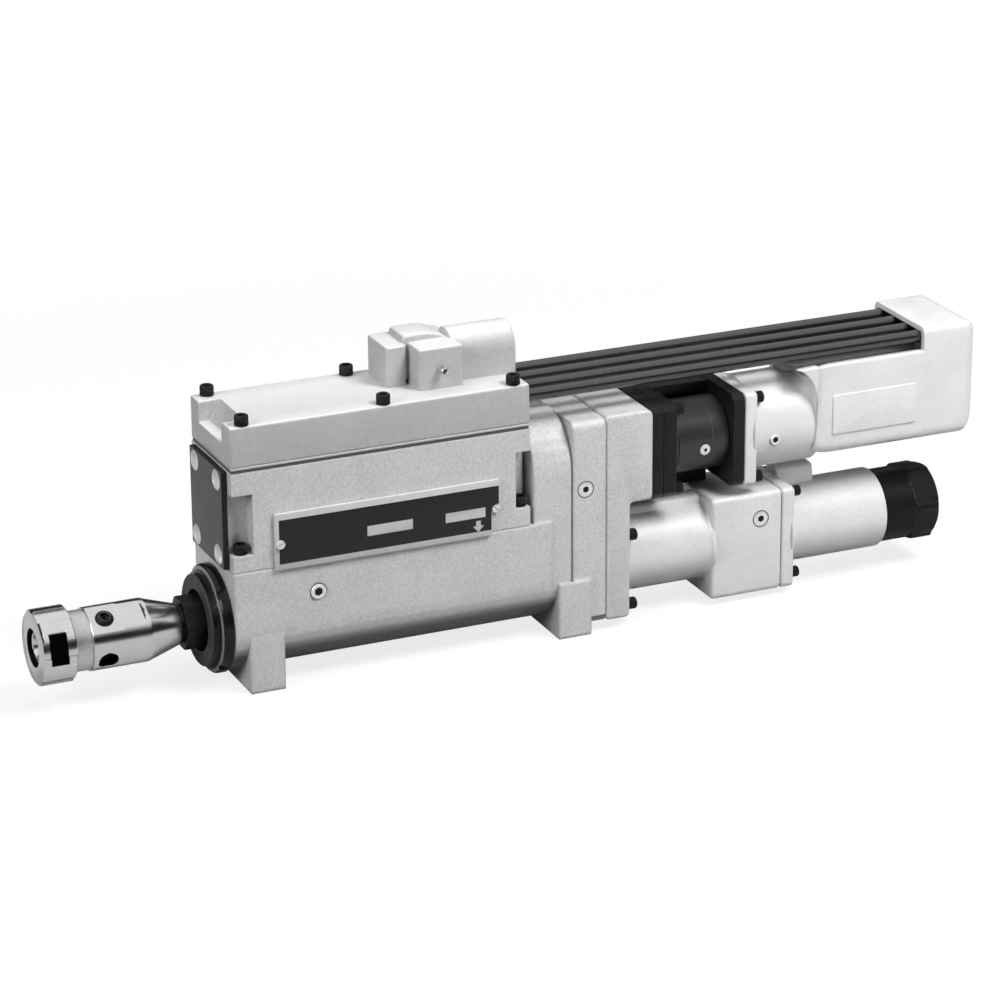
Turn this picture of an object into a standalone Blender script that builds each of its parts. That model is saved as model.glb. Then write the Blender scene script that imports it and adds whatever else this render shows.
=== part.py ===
"""Self feeding lead screw tapping head, driven by an air motor through a planetary gear box.

The spindle runs along X with the chuck towards -X. The origin lies under the middle of the
front foot, in the plane of the spindle. The positions along X below are measured from the
front face of the control block, and FRAME_X carries them to the origin as each piece is made.
"""
from math import acos, atan2, cos, pi, radians, sin, sqrt, tan

import bmesh
import bpy
from mathutils import Matrix, Vector

MM = 0.001

# Fits
SEAT_GAP = 0.3 * MM
RUN_GAP = 0.35 * MM
ROUND_STEPS = 28
SMALL_STEPS = 10
GEAR_FLANK = 2
PLANET_FLANK = 1

# Axes and gear train
SPINDLE_Z = 40.5 * MM
GEAR_MODULE = 1.5 * MM
DRIVE_TEETH = 32
IDLER_TEETH = 18
PINION_TEETH = 28
IDLER_Z = SPINDLE_Z + GEAR_MODULE * (DRIVE_TEETH + IDLER_TEETH) / 2
MOTOR_Z = IDLER_Z + GEAR_MODULE * (IDLER_TEETH + PINION_TEETH) / 2
PLANET_MODULE = 0.9 * MM
SUN_TEETH = 12
PLANET_TEETH = 15
RING_TEETH = SUN_TEETH + 2 * PLANET_TEETH
PLANET_ORBIT = PLANET_MODULE * (SUN_TEETH + PLANET_TEETH) / 2
BACKLASH = 0.22 * MM
TOOTH_CLEARANCE = 0.25
GEAR_FACE = 9.0 * MM
GEAR_BORE_R = 12.2 * MM

# Lower housing
HALF_WIDTH = 35.1 * MM
HOUSING_TOP = 81.4 * MM
HOUSING_FLOOR = 7.8 * MM
HOUSING_BORE_R = 24.0 * MM
BLOCK_LENGTH = 198.6 * MM
UPRIGHT_GAP = 2.9 * MM
UPRIGHT_LENGTH = 26.0 * MM
NECK_LENGTH = 1.5 * MM
FLANGE_LENGTH = 22.9 * MM
UPRIGHT_START = BLOCK_LENGTH + UPRIGHT_GAP
UPRIGHT_END = UPRIGHT_START + UPRIGHT_LENGTH
UPRIGHT_HALF_WIDTH = 34.0 * MM
FLANGE_START = UPRIGHT_END + NECK_LENGTH
HOUSING_END = FLANGE_START + FLANGE_LENGTH
FLANGE_HALF_WIDTH = 33.6 * MM
FLANGE_FLOOR = 6.5 * MM
FLANGE_TOP = MOTOR_Z + 31.5 * MM
FOOT_WIDTH = 22.6 * MM
FRONT_FOOT_X = 9.2 * MM
REAR_FOOT_X = UPRIGHT_START + 17.2 * MM
FRAME_X = FRONT_FOOT_X + FOOT_WIDTH / 2

# Control block, gasket and lid
BLOCK_HEIGHT = 64.3 * MM
BLOCK_BASE = HOUSING_TOP + SEAT_GAP
BLOCK_TOP = BLOCK_BASE + BLOCK_HEIGHT
CAVITY_END_WALL = 22.0 * MM
CAVITY_HALF_WIDTH = 24.0 * MM
CAVITY_HEIGHT = 34.0 * MM
WINDOW_END_WALL = 36.0 * MM
WINDOW_LOW = BLOCK_BASE + 4.3 * MM
WINDOW_HIGH = WINDOW_LOW + 26.0 * MM
POCKET_LENGTH = 13.4 * MM
POCKET_REAR_LENGTH = 9.9 * MM
POCKET_DEPTH = 12.0 * MM
POCKET_FLOOR = BLOCK_BASE + 10.3 * MM
POCKET_TOP = POCKET_FLOOR + 39.6 * MM
SPOOL_Z = BLOCK_TOP - 14.5 * MM
SPOOL_R = 6.5 * MM
SPOOL_INSET = 26.0 * MM
SPOOL_LENGTH = BLOCK_LENGTH - 2 * SPOOL_INSET - 26 * MM
SPOOL_TRAVEL = 4.0 * MM
GASKET_THICKNESS = 1.4 * MM
GASKET_BASE = BLOCK_TOP + SEAT_GAP
LID_BASE = GASKET_BASE + GASKET_THICKNESS + SEAT_GAP
LID_HEIGHT = 27.6 * MM
LID_TOP = LID_BASE + LID_HEIGHT
LID_HOLLOW_HALF = 19.0 * MM
LID_HOLLOW_HEIGHT = 11.0 * MM
LID_NOTCH_HALF = 20.5 * MM
LID_NOTCH_DEPTH = 13.5 * MM
LID_NOTCH_LENGTH = 14.5 * MM
LID_NOTCH_SLOPE = 7.0 * MM

# Socket head cap screws, 1/4 inch
SCREW_R = 3.175 * MM
SCREW_HEAD_R = 4.765 * MM
SCREW_HEAD_HEIGHT = 6.35 * MM
SCREW_SOCKET = 4.76 * MM
SCREW_HOLE_R = SCREW_R + SEAT_GAP
LID_SCREW_INSET = 9.4 * MM
LID_SCREW_X = (LID_SCREW_INSET, BLOCK_LENGTH / 2 + 2.7 * MM, BLOCK_LENGTH - LID_SCREW_INSET)
LID_SCREW_Y = HALF_WIDTH - 4.6 * MM
LID_SCREW_GRIP = 12.0 * MM
BLOCK_SCREW_X = (POCKET_LENGTH / 2, BLOCK_LENGTH - POCKET_REAR_LENGTH / 2)
BLOCK_SCREW_Y = HALF_WIDTH - 5.9 * MM
BLOCK_SCREW_GRIP = 14.0 * MM

# Air tubes
TUBE_R = 4.1 * MM
TUBE_Z = LID_BASE + 16.6 * MM
TUBE_PITCH = 16.5 * MM
TUBE_SOCKET = 5.0 * MM
TUBE_HOLE_R = TUBE_R + SEAT_GAP

# Front plate, ring and bushing
PLATE_THICKNESS = 3.8 * MM
PLATE_HALF_WIDTH = 28.2 * MM
PLATE_SCREW_INSET_Y = 9.0 * MM
PLATE_SCREW_INSET_Z = 7.5 * MM
RING_LENGTH = 12.5 * MM
RING_R = 34.6 * MM
RING_STEP_R = 31.4 * MM
RING_FACE_R = 29.2 * MM
RING_RIM = 5.8 * MM
RING_RECESS = 4.5 * MM
BUSHING_LENGTH = 38.0 * MM

# Spindle and feed
SHAFT_R = 11.0 * MM
FEED_TRAVEL = 38.1 * MM
SPINDLE_FRONT = -58.0 * MM
NOSE_FRONT = -24.4 * MM
NOSE_REAR = -9.8 * MM
NOSE_HEX_R = 17.5 * MM
NOSE_STUB_R = 12.4 * MM
SPINDLE_TAIL_R = 8.5 * MM
SPLINE_COUNT = 6
SPLINE_ROOT_R = 9.2 * MM
SPLINE_HALF_ANGLE = radians(15)
LEAD_SCREW_R = 9.5 * MM
COLLAR_LENGTH = 40.0 * MM
COLLAR_START = UPRIGHT_START - 43.5 * MM - COLLAR_LENGTH
COLLAR_R = 20.0 * MM
YOKE_THICKNESS = 12.0 * MM
YOKE_HALF_WIDTH = 7.0 * MM
YOKE_TOP = BLOCK_BASE + CAVITY_HEIGHT - 6 * MM
YOKE_MIDDLE = COLLAR_START + COLLAR_LENGTH / 2
YOKE_SLOT_START = YOKE_MIDDLE - YOKE_THICKNESS - FEED_TRAVEL - 8 * MM
YOKE_SLOT_END = YOKE_MIDDLE + YOKE_THICKNESS + 8 * MM
YOKE_SLOT_HALF = YOKE_HALF_WIDTH + 2 * MM

# Chuck
BODY_FRONT = -86.0 * MM
NUT_GAP = 11.4 * MM
NUT_LENGTH = 21.6 * MM
NUT_FRONT = BODY_FRONT - NUT_GAP - NUT_LENGTH
NUT_R = 23.9 * MM
NUT_MOUTH_R = 12.4 * MM
NUT_SLOTS = 6
NUT_TRAVEL = 1.5 * MM
NECK_R = 19.0 * MM
BODY_R = 20.0 * MM
CONE_START = BODY_FRONT + 37.5 * MM
CONE_END = -27.7 * MM
CONE_END_R = 11.9 * MM
COLLET_R = 12.0 * MM
TAP_R = 4.2 * MM
SET_SCREW_X = BODY_FRONT + 10.6 * MM
SET_SCREW_R = 6.0 * MM
SET_SCREW_TILT = radians(29)

# Gear cover and gear box
COVER_LOW_END = HOUSING_END + 17.6 * MM
COVER_HIGH_END = HOUSING_END + 33.4 * MM
COVER_STEP_Z = MOTOR_Z - 28.0 * MM
COVER_TOP = FLANGE_TOP + 1.5 * MM
COVER_BEVEL = 4.0 * MM
COVER_SCREW_HEAD = 7.0 * MM
GEAR_CAVITY_DEPTH = 14.2 * MM
GEAR_START = HOUSING_END + 3.6 * MM
PLATE_HALF = 28.8 * MM
PLATE_LOW = MOTOR_Z - 31.0 * MM
PLATE_HIGH = MOTOR_Z + 32.0 * MM
GEAR_PLATE_THICKNESS = 9.2 * MM
FRONT_PLATE_END = COVER_HIGH_END + SEAT_GAP + GEAR_PLATE_THICKNESS
MIDDLE_PLATE_END = FRONT_PLATE_END + SEAT_GAP + GEAR_PLATE_THICKNESS
RING_GEAR_LENGTH = 40.0 * MM
RING_GEAR_END = MIDDLE_PLATE_END + SEAT_GAP + RING_GEAR_LENGTH
REAR_PLATE_THICKNESS = 7.8 * MM
REAR_PLATE_END = RING_GEAR_END + SEAT_GAP + REAR_PLATE_THICKNESS
GEAR_CASE_WEB_Y = 9.0 * MM
GEAR_CASE_FOOT = SPINDLE_Z + 34.0 * MM
RING_GEAR_R = 24.0 * MM
CARRIER_R = 17.0 * MM
CARRIER_PLATE = 7.0 * MM
PLANET_START = MIDDLE_PLATE_END + 13.7 * MM
PLANET_FACE = 14.0 * MM
PLANET_PIN_R = 2.4 * MM
PINION_SHAFT_R = 7.0 * MM
SPLINE_MARGIN = 3.0 * MM
GEAR_HUB_R = 16.0 * MM
GEAR_HUB_START = HOUSING_END - 19.9 * MM
SPLINE_START = GEAR_HUB_START - SPLINE_MARGIN
SPLINE_END = GEAR_START + GEAR_FACE + FEED_TRAVEL + SPLINE_MARGIN
IDLER_PIN_R = 4.0 * MM
IDLER_PIN_START = HOUSING_END - 11.6 * MM
PINION_SHAFT_START = HOUSING_END - 11.6 * MM

# Air motor
MOTOR_START = REAR_PLATE_END + SEAT_GAP
MOTOR_FLANGE_END = MOTOR_START + 8.1 * MM
MOTOR_HALF_FLANGE = 30.0 * MM
MOTOR_ROUND_R = 31.4 * MM
MOTOR_ROUND_Z = MOTOR_Z + 3.3 * MM
MOTOR_BOX_START = MOTOR_FLANGE_END + 25.0 * MM
MOTOR_SHOULDER = 17.0 * MM
MOTOR_SHOULDER_DROP = 24.0 * MM
MOTOR_HALF_WIDTH = 33.6 * MM
MOTOR_BOX_LOW = MOTOR_Z - 17.5 * MM
MOTOR_BOX_TOP = MOTOR_Z + 44.5 * MM
CAP_START = MOTOR_BOX_START + 94.5 * MM
CAP_LENGTH = 38.6 * MM
CAP_END = CAP_START + CAP_LENGTH
CAP_TOP = TUBE_Z + 7.8 * MM
CAP_LOW = MOTOR_BOX_LOW + 1.5 * MM
CAP_CORNER = 18.0 * MM
CAP_HALF_WIDTH = 34.1 * MM
CAP_POCKET_DEPTH = 9.5 * MM
DECK_Z = TUBE_Z - 14.6 * MM
DECK_R = 62.0 * MM
PAD_START = MOTOR_BOX_START + 28.0 * MM
PAD_LENGTH = 61.0 * MM
PAD_LOW = MOTOR_Z - 3.5 * MM
PAD_HEIGHT = 27.0 * MM
LINER_R = 24.2 * MM
LINER_BORE_R = 20.5 * MM
LINER_OFFSET = 1.8 * MM
MOTOR_BORE_START = MOTOR_START + 8.5 * MM
LINER_LENGTH = 32.0 * MM
END_PLATE = 8.0 * MM
ROTOR_R = 18.2 * MM
ROTOR_SHAFT_R = 4.6 * MM
ROTOR_TAIL = 8.0 * MM
VANE_COUNT = 5
VANE_THICKNESS = 1.6 * MM
VANE_DEPTH = 2.6 * MM
TUBE_END = CAP_START + CAP_POCKET_DEPTH + TUBE_SOCKET
MOTOR_BORE_END = MOTOR_BORE_START + END_PLATE + LINER_LENGTH + 3 * SEAT_GAP
MOTOR_PLUG_X = MOTOR_FLANGE_END + 12.7 * MM
MOTOR_PLUG_Z = MOTOR_Z - 1.5 * MM
MOTOR_PLUG_R = 3.6 * MM
MOTOR_PLUG_WALL = -sqrt(MOTOR_ROUND_R ** 2 - (MOTOR_PLUG_Z - MOTOR_ROUND_Z) ** 2)

# Lead screw housing, sleeve and cap
FRONT_TUBE_R = 27.3 * MM
SCREW_HOUSING_BORE_R = 14.5 * MM
SCREW_BLOCK_START = COVER_LOW_END + 62.3 * MM
SCREW_BLOCK_LENGTH = 50.6 * MM
SCREW_BLOCK_END = SCREW_BLOCK_START + SCREW_BLOCK_LENGTH
SCREW_BLOCK_HALF = 26.5 * MM
SCREW_BLOCK_LOW = SPINDLE_Z - 36.1 * MM
SCREW_BLOCK_HIGH = SPINDLE_Z + 33.3 * MM
BLOCK_BOLT_Y = 20.0 * MM
BLOCK_BOLT_Z = 28.4 * MM
BLOCK_BOLT_R = 3.6 * MM
BLOCK_BOLT_HEAD = 6.2 * MM
RAIL_HALF = 8.0 * MM
RAIL_TOP = SPINDLE_Z + 31.0 * MM
SLEEVE_START = SCREW_BLOCK_END + SEAT_GAP
SLEEVE_FLANGE = 9.0 * MM
SLEEVE_HALF = 25.2 * MM
SLEEVE_R = 26.6 * MM
SLEEVE_END = SLEEVE_START + 78.7 * MM
SLEEVE_BOSS_TOP = SPINDLE_Z + 38.5 * MM
SLEEVE_BOSS_LENGTH = 26.0 * MM
SLEEVE_BOSS_Y = 6.0 * MM
LEAD_NUT_START = SLEEVE_START + 14.3 * MM
LEAD_NUT_R = 18.0 * MM
LEAD_NUT_LENGTH = 34.0 * MM
LEAD_SCREW_END = LEAD_NUT_START + LEAD_NUT_LENGTH + FEED_TRAVEL + 2 * MM
END_CAP_R = 24.5 * MM
END_CAP_LENGTH = 22.4 * MM
END_HEX_R = 27.2 * MM
END_HEX_LENGTH = 17.8 * MM
END_HEX_TURN = radians(9)

# Stroke cover
COVER_LEFT = 26.5 * MM
COVER_RIGHT = BLOCK_LENGTH - 22.0 * MM
COVER_LOW = BLOCK_BASE - 1.7 * MM
COVER_HIGH = WINDOW_HIGH + 5.0 * MM
COVER_THICKNESS = 2.0 * MM
PIVOT_X = COVER_LEFT + 3.1 * MM
PIVOT_Z = COVER_LOW + 17.3 * MM
LATCH_X = COVER_RIGHT - 2.0 * MM
SMALL_SCREW_R = 1.9 * MM
SMALL_HEAD_R = 3.0 * MM
SMALL_HEAD_HEIGHT = 1.6 * MM
STROKE_ROD_R = 3.0 * MM
STROKE_ROD_Y = -CAVITY_HALF_WIDTH + 6.0 * MM
STROKE_ROD_Z = (WINDOW_LOW + WINDOW_HIGH) / 2
STROKE_ROD_SEAT = 6.0 * MM
DOG_LENGTH = 14.0 * MM
DOG_START = BLOCK_LENGTH - CAVITY_END_WALL - 26.0 * MM - DOG_LENGTH
DOG_TRAVEL = 70.0 * MM


for old in list(bpy.data.objects):
    bpy.data.objects.remove(old, do_unlink=True)

HEAD = bpy.data.collections.new("tapping_head")
CUTTERS = bpy.data.collections.new("cutters")
bpy.context.scene.collection.children.link(HEAD)
bpy.context.scene.collection.children.link(CUTTERS)
BLOCK_SCREW_BOTTOM = POCKET_FLOOR + SEAT_GAP - (POCKET_FLOOR - BLOCK_BASE) - BLOCK_SCREW_GRIP
SIDE_PLUG_X = 54.8 * MM
SIDE_PLUG_Z = 61.2 * MM
SIDE_PLUG_R = 5.0 * MM
PORT_X = (BLOCK_LENGTH * 0.25, BLOCK_LENGTH * 0.5, BLOCK_LENGTH * 0.75)
PORT_R = 3.0 * MM
LID_HOLLOW_START = 20.0 * MM
LID_HOLLOW_END = BLOCK_LENGTH - 20.0 * MM
VALVE_RISE = 25.8 * MM
VALVE_TOP = LID_TOP + VALVE_RISE
FRONT_VALVE_LENGTH = 18.0 * MM
VALVE_BOX_LENGTH = 30.0 * MM
BARREL_LENGTH = 39.5 * MM
BARREL_END = BLOCK_LENGTH + 1.9 * MM
VALVE_BOX_END = BARREL_END - BARREL_LENGTH
VALVE_BOX_START = VALVE_BOX_END - VALVE_BOX_LENGTH
FRONT_VALVE_START = VALVE_BOX_START - FRONT_VALVE_LENGTH + 2 * MM
FRONT_VALVE_SIDE = -5.0 * MM
VALVE_FAR_SIDE = 27.0 * MM
VALVE_BOX_SIDE = -19.0 * MM
CROWN_R = 17.0 * MM
CROWN_RISE = 7.5 * MM
BARREL_Y = 5.5 * MM
BARREL_R = 15.8 * MM
BARREL_Z = VALVE_TOP + 4.9 * MM - BARREL_R
FITTING_X = VALVE_BOX_START + VALVE_BOX_LENGTH / 2 - 0.5 * MM
FITTING_Z = VALVE_TOP - VALVE_RISE / 2
FITTING_R = 2.6 * MM
PINION_PHASE = radians(-90) + pi / PINION_TEETH
PLANET_ANGLES = [radians(90 + 120 * number) for number in range(3)]
RING_PHASE = radians(90)
YOKE_BASE = SPINDLE_Z + SHAFT_R + 4 * MM
NECK_THREAD = NUT_FRONT + NUT_LENGTH + 0.6 * MM
NECK_FRONT = NUT_FRONT + 8.7 * MM
VALVE_SPOOL_START = CAVITY_END_WALL + 4 * MM
NUT_SLOT_HALF = 5.3 * MM
NUT_SLOT_DEPTH = 1.2 * MM
NUT_SLOT_TURN = radians(16.5)
NUT_FLAT_START = NUT_FRONT + 4.4 * MM
NUT_FLAT_LENGTH = 11.3 * MM
NUT_FLAT_HEIGHT = NUT_R - 2.4 * MM
BODY_FLAT_DEPTH = 2.9 * MM
BODY_FLAT_LENGTH = 20.7 * MM
BODY_STEP_DEPTH = 2.0 * MM
BODY_STEP_LENGTH = 14.5 * MM
PLATE_BUTTON_R = 6.6 * MM
PLATE_BUTTON_RISE = 1.8 * MM
PLATE_BUTTON_SLOT = 1.2 * MM


def material(name, colour, roughness, metallic):
    """Return a Principled BSDF material."""
    made = bpy.data.materials.new(name)
    made.use_nodes = True
    shader = made.node_tree.nodes["Principled BSDF"]
    shader.inputs["Base Color"].default_value = (*colour, 1.0)
    shader.inputs["Roughness"].default_value = roughness
    shader.inputs["Metallic"].default_value = metallic
    made.diffuse_color = (*colour, 1.0)
    return made


CASTING = ((0.62, 0.62, 0.61), 0.5, 0.7)
STEEL = ((0.68, 0.68, 0.67), 0.3, 1.0)
BRIGHT = ((0.8, 0.8, 0.79), 0.18, 1.0)
BLACK = ((0.02, 0.02, 0.022), 0.4, 0.3)
BRONZE = ((0.55, 0.38, 0.18), 0.35, 1.0)
PAPER = ((0.16, 0.15, 0.13), 0.9, 0.0)


def place(obj, look, tool=False):
    """Link an object as a piece of the head, or as a cutter."""
    if tool:
        CUTTERS.objects.link(obj)
        obj.hide_render = True
        obj.display_type = "WIRE"
    else:
        HEAD.objects.link(obj)
        obj.data.materials.append(material(obj.name, *look))
    return obj


def from_bmesh(name, shape, look, tool):
    """Make an object from a bmesh and shade its round faces smooth."""
    mesh = bpy.data.meshes.new(name)
    bmesh.ops.translate(shape, vec=(-FRAME_X, 0.0, 0.0), verts=shape.verts)
    bmesh.ops.recalc_face_normals(shape, faces=shape.faces)
    shape.to_mesh(mesh)
    shape.free()
    mesh.shade_smooth()
    mesh.set_sharp_from_angle(angle=radians(35))
    return place(bpy.data.objects.new(name, mesh), look, tool)


def box(name, low, high, look=None, tool=False, radius=0.0, along="", segments=3):
    """Box between two corners, its edges along the named axes rounded."""
    shape = bmesh.new()
    bmesh.ops.create_cube(shape, size=1.0)
    low = Vector(low)
    high = Vector(high)
    bmesh.ops.scale(shape, vec=high - low, verts=shape.verts)
    bmesh.ops.translate(shape, vec=(high + low) / 2, verts=shape.verts)
    if radius:
        chosen = []
        for edge in shape.edges:
            run = (edge.verts[1].co - edge.verts[0].co).normalized()
            if any(abs(run["XYZ".index(axis)]) > 0.9 for axis in along):
                chosen.append(edge)
        bmesh.ops.bevel(shape, geom=chosen, offset=radius, segments=segments, profile=0.5, affect="EDGES")
    return from_bmesh(name, shape, look, tool)


def rod(name, start, end, radius, look=None, tool=False, steps=ROUND_STEPS, end_radius=None):
    """Cylinder or cone between two points, with flat ends."""
    start = Vector(start)
    end = Vector(end)
    shape = bmesh.new()
    bmesh.ops.create_cone(shape, cap_ends=True, segments=steps, radius1=radius,
                          radius2=radius if end_radius is None else end_radius,
                          depth=(end - start).length)
    turn = (end - start).to_track_quat("Z", "Y").to_matrix().to_4x4()
    bmesh.ops.transform(shape, matrix=Matrix.Translation((start + end) / 2) @ turn, verts=shape.verts)
    return from_bmesh(name, shape, look, tool)


def turned(name, profile, centre, look=None, tool=False, steps=ROUND_STEPS, turn=(0.0, pi / 2, 0.0)):
    """Turned shape: a profile of radius and height, from the top down its outer side."""
    mesh = bpy.data.meshes.new(name)
    shape = bmesh.new()
    points = [shape.verts.new((radius, 0.0, height)) for radius, height in profile]
    for first, second in zip(points, points[1:]):
        shape.edges.new((first, second))
    if min(radius for radius, height in profile) > 1e-6:
        shape.edges.new((points[-1], points[0]))
    shape.to_mesh(mesh)
    shape.free()
    obj = place(bpy.data.objects.new(name, mesh), look, tool)
    obj.location = Vector(centre) - Vector((FRAME_X, 0.0, 0.0))
    obj.rotation_euler = turn
    screw = obj.modifiers.new("turn", "SCREW")
    screw.axis = "Z"
    screw.angle = 2 * pi
    screw.steps = steps
    screw.render_steps = steps
    screw.use_merge_vertices = True
    screw.merge_threshold = 0.00001
    screw.use_smooth_shade = True
    return obj


def turned_x(name, profile, look=None, tool=False, steps=ROUND_STEPS, y=0.0, z=SPINDLE_Z):
    """Turned shape whose heights are positions along X."""
    return turned(name, profile, (0.0, y, z), look, tool, steps)


def ring_x(name, start, end, outer, inner, look=None, tool=False, steps=ROUND_STEPS, y=0.0, z=SPINDLE_Z):
    """Plain ring between two positions along X."""
    profile = [(outer, end), (outer, start), (inner, start), (inner, end)]
    return turned_x(name, profile, look, tool, steps, y, z)


PLANES = {
    "X": Matrix(((0, 0, 1, 0), (1, 0, 0, 0), (0, 1, 0, 0), (0, 0, 0, 1))),
    "Y": Matrix(((1, 0, 0, 0), (0, 0, -1, 0), (0, 1, 0, 0), (0, 0, 0, 1))),
    "Z": Matrix.Identity(4),
}


def plate(name, outlines, axis, start, end, look=None, tool=False):
    """Flat outline, with any holes, extruded along an axis between two positions."""
    curve = bpy.data.curves.new(name, "CURVE")
    curve.dimensions = "2D"
    curve.fill_mode = "BOTH"
    curve.extrude = (end - start) / 2
    for outline in outlines:
        spline = curve.splines.new("POLY")
        spline.points.add(len(outline) - 1)
        for point, (u, v) in zip(spline.points, outline):
            point.co = (u, v, 0.0, 1.0)
        spline.use_cyclic_u = True
    flat = bpy.data.objects.new(name + "_outline", curve)
    bpy.context.scene.collection.objects.link(flat)
    shift = Vector((0.0, 0.0, 0.0))
    shift["XYZ".index(axis)] = (start + end) / 2
    flat.matrix_world = Matrix.Translation(shift) @ PLANES[axis]
    bpy.context.view_layer.update()
    mesh = bpy.data.meshes.new_from_object(flat.evaluated_get(bpy.context.evaluated_depsgraph_get()))
    where = flat.matrix_world.copy()
    bpy.data.objects.remove(flat, do_unlink=True)
    shape = bmesh.new()
    shape.from_mesh(mesh)
    bpy.data.meshes.remove(mesh)
    bmesh.ops.remove_doubles(shape, verts=shape.verts, dist=0.000005)
    bmesh.ops.dissolve_limit(shape, angle_limit=radians(0.5), verts=shape.verts, edges=shape.edges)
    bmesh.ops.transform(shape, matrix=where, verts=shape.verts)
    return from_bmesh(name, shape, look, tool)


def combine(obj, other, operation):
    """Boolean one object with another, exactly."""
    step = obj.modifiers.new(other.name, "BOOLEAN")
    step.operation = operation
    step.solver = "EXACT"
    step.object = other
    return obj


def cut(obj, *tools):
    """Cut tools out of an object."""
    for tool in tools:
        combine(obj, tool, "DIFFERENCE")
    return obj


def join(obj, *tools):
    """Grow an object by other shapes."""
    for tool in tools:
        combine(obj, tool, "UNION")
    return obj


def axis_empty(name, position, pieces):
    """Carry moving pieces on an empty that stands on their joint's axis."""
    carrier = bpy.data.objects.new(name, None)
    HEAD.objects.link(carrier)
    carrier.location = Vector(position) - Vector((FRAME_X, 0.0, 0.0))
    bpy.context.view_layer.update()
    for piece in pieces:
        piece.parent = carrier
        piece.matrix_parent_inverse = carrier.matrix_world.inverted()
    return carrier


def circle(radius, steps, y=0.0, z=0.0, phase=0.0):
    """Points of a circle."""
    return [(y + radius * cos(phase + 2 * pi * i / steps), z + radius * sin(phase + 2 * pi * i / steps))
            for i in range(steps)]


def arc(radius, first, last, steps, y=0.0, z=0.0):
    """Points of an arc between two angles."""
    return [(y + radius * cos(first + (last - first) * i / steps),
             z + radius * sin(first + (last - first) * i / steps)) for i in range(steps + 1)]


def involute_angle(radius, base):
    """Angle that an involute has turned through when it reaches a radius."""
    if radius <= base:
        return 0.0
    slope = sqrt((radius / base) ** 2 - 1)
    return slope - atan2(slope, 1.0)


def gear_outline(teeth, module, phase, backlash=BACKLASH, inner=False, y=0.0, z=0.0, flank=GEAR_FLANK):
    """Outline of an involute gear, or of the hollow inside a ring gear."""
    pitch = teeth * module / 2
    base = pitch * cos(radians(20))
    tip = pitch + module * (0.96 if not inner else 1.0 + TOOTH_CLEARANCE)
    root = pitch - module * (1.0 + TOOTH_CLEARANCE if not inner else 0.9)
    slack = backlash / pitch / 2
    half = pi / teeth / 2 + (slack if inner else -slack) + involute_angle(pitch, base)
    radii = [root + (tip - root) * (i / flank) ** 0.8 for i in range(flank + 1)]
    flanks = [(radius, half - involute_angle(radius, base)) for radius in radii]
    points = []
    for tooth in range(teeth):
        middle = phase + 2 * pi * tooth / teeth
        for radius, angle in flanks:
            points.append((y + radius * cos(middle - angle), z + radius * sin(middle - angle)))
        for radius, angle in reversed(flanks):
            points.append((y + radius * cos(middle + angle), z + radius * sin(middle + angle)))
    return points


def spline_outline(outer, root, half_angle, grow=0.0):
    """Section of a splined shaft, or of the hole that it slides in."""
    points = []
    for key in range(SPLINE_COUNT):
        middle = 2 * pi * key / SPLINE_COUNT
        wide = half_angle + grow / outer
        gap = 2 * pi / SPLINE_COUNT - 2 * wide
        for turn in (-wide, 0.0, wide):
            points.append(((outer + grow) * cos(middle + turn), (outer + grow) * sin(middle + turn)))
        for turn in (wide, wide + gap / 2, wide + gap):
            points.append(((root + grow) * cos(middle + turn), (root + grow) * sin(middle + turn)))
    return points


def shift_outline(points, y, z):
    """Move an outline."""
    return [(u + y, v + z) for u, v in points]


def screw_hole(name, x, y, bottom, top):
    """Clearance hole along Z for a cap screw."""
    return rod(name, (x, y, bottom), (x, y, top), SCREW_HOLE_R, tool=True, steps=SMALL_STEPS)


def cap_screw(name, x, y, seat, length):
    """Socket head cap screw that stands along Z, its head on the seat."""
    top = seat + SEAT_GAP + SCREW_HEAD_HEIGHT
    under = seat + SEAT_GAP
    profile = [(0.0, top), (SCREW_HEAD_R, top), (SCREW_HEAD_R, under), (SCREW_R, under),
               (SCREW_R, under - length), (0.0, under - length)]
    screw = turned(name, profile, (x, y, 0.0), BLACK, steps=SMALL_STEPS, turn=(0.0, 0.0, 0.0))
    socket = rod(name + "_socket", (x, y, top - 3.2 * MM), (x, y, top + 1 * MM),
                 SCREW_SOCKET / sqrt(3), tool=True, steps=6)
    return cut(screw, socket)


def block_screw_places():
    """Name and place of the four screws that hold the control block down."""
    places = []
    for number_x, x in enumerate(BLOCK_SCREW_X):
        for number_y, y in enumerate((-BLOCK_SCREW_Y, BLOCK_SCREW_Y)):
            places.append(("block_screw_%d" % (2 * number_x + number_y + 1), x, y))
    return places


def lid_screw_places():
    """Name and place of the six screws that hold the lid."""
    places = []
    for number_x, x in enumerate(LID_SCREW_X):
        for number_y, y in enumerate((-LID_SCREW_Y, LID_SCREW_Y)):
            places.append(("lid_screw_%d" % (2 * number_x + number_y + 1), x, y))
    return places


def tube_places():
    """Y of each air tube."""
    return [TUBE_PITCH * (number - 1.5) for number in range(4)]


def side_plug_hole(name, x, z, wall, radius):
    """Blind hole in the near side for a plug."""
    return rod(name, (x, wall - 3 * MM, z), (x, wall + 5 * MM, z), radius + SEAT_GAP, tool=True, steps=12)


def side_plug(name, x, z, wall, radius):
    """Socket plug set in the near side, with a domed rim."""
    profile = [(0.0, 1.2 * MM), (radius * 0.7, 1.2 * MM), (radius, 0.3 * MM),
               (radius, -4.4 * MM), (0.0, -4.4 * MM)]
    plug = turned(name, profile, (x, wall, z), STEEL, steps=12, turn=(pi / 2, 0.0, 0.0))
    socket = rod(name + "_socket", (x, wall - 3 * MM, z), (x, wall + 1.5 * MM, z), radius * 0.42, tool=True, steps=6)
    return cut(plug, socket)


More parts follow.
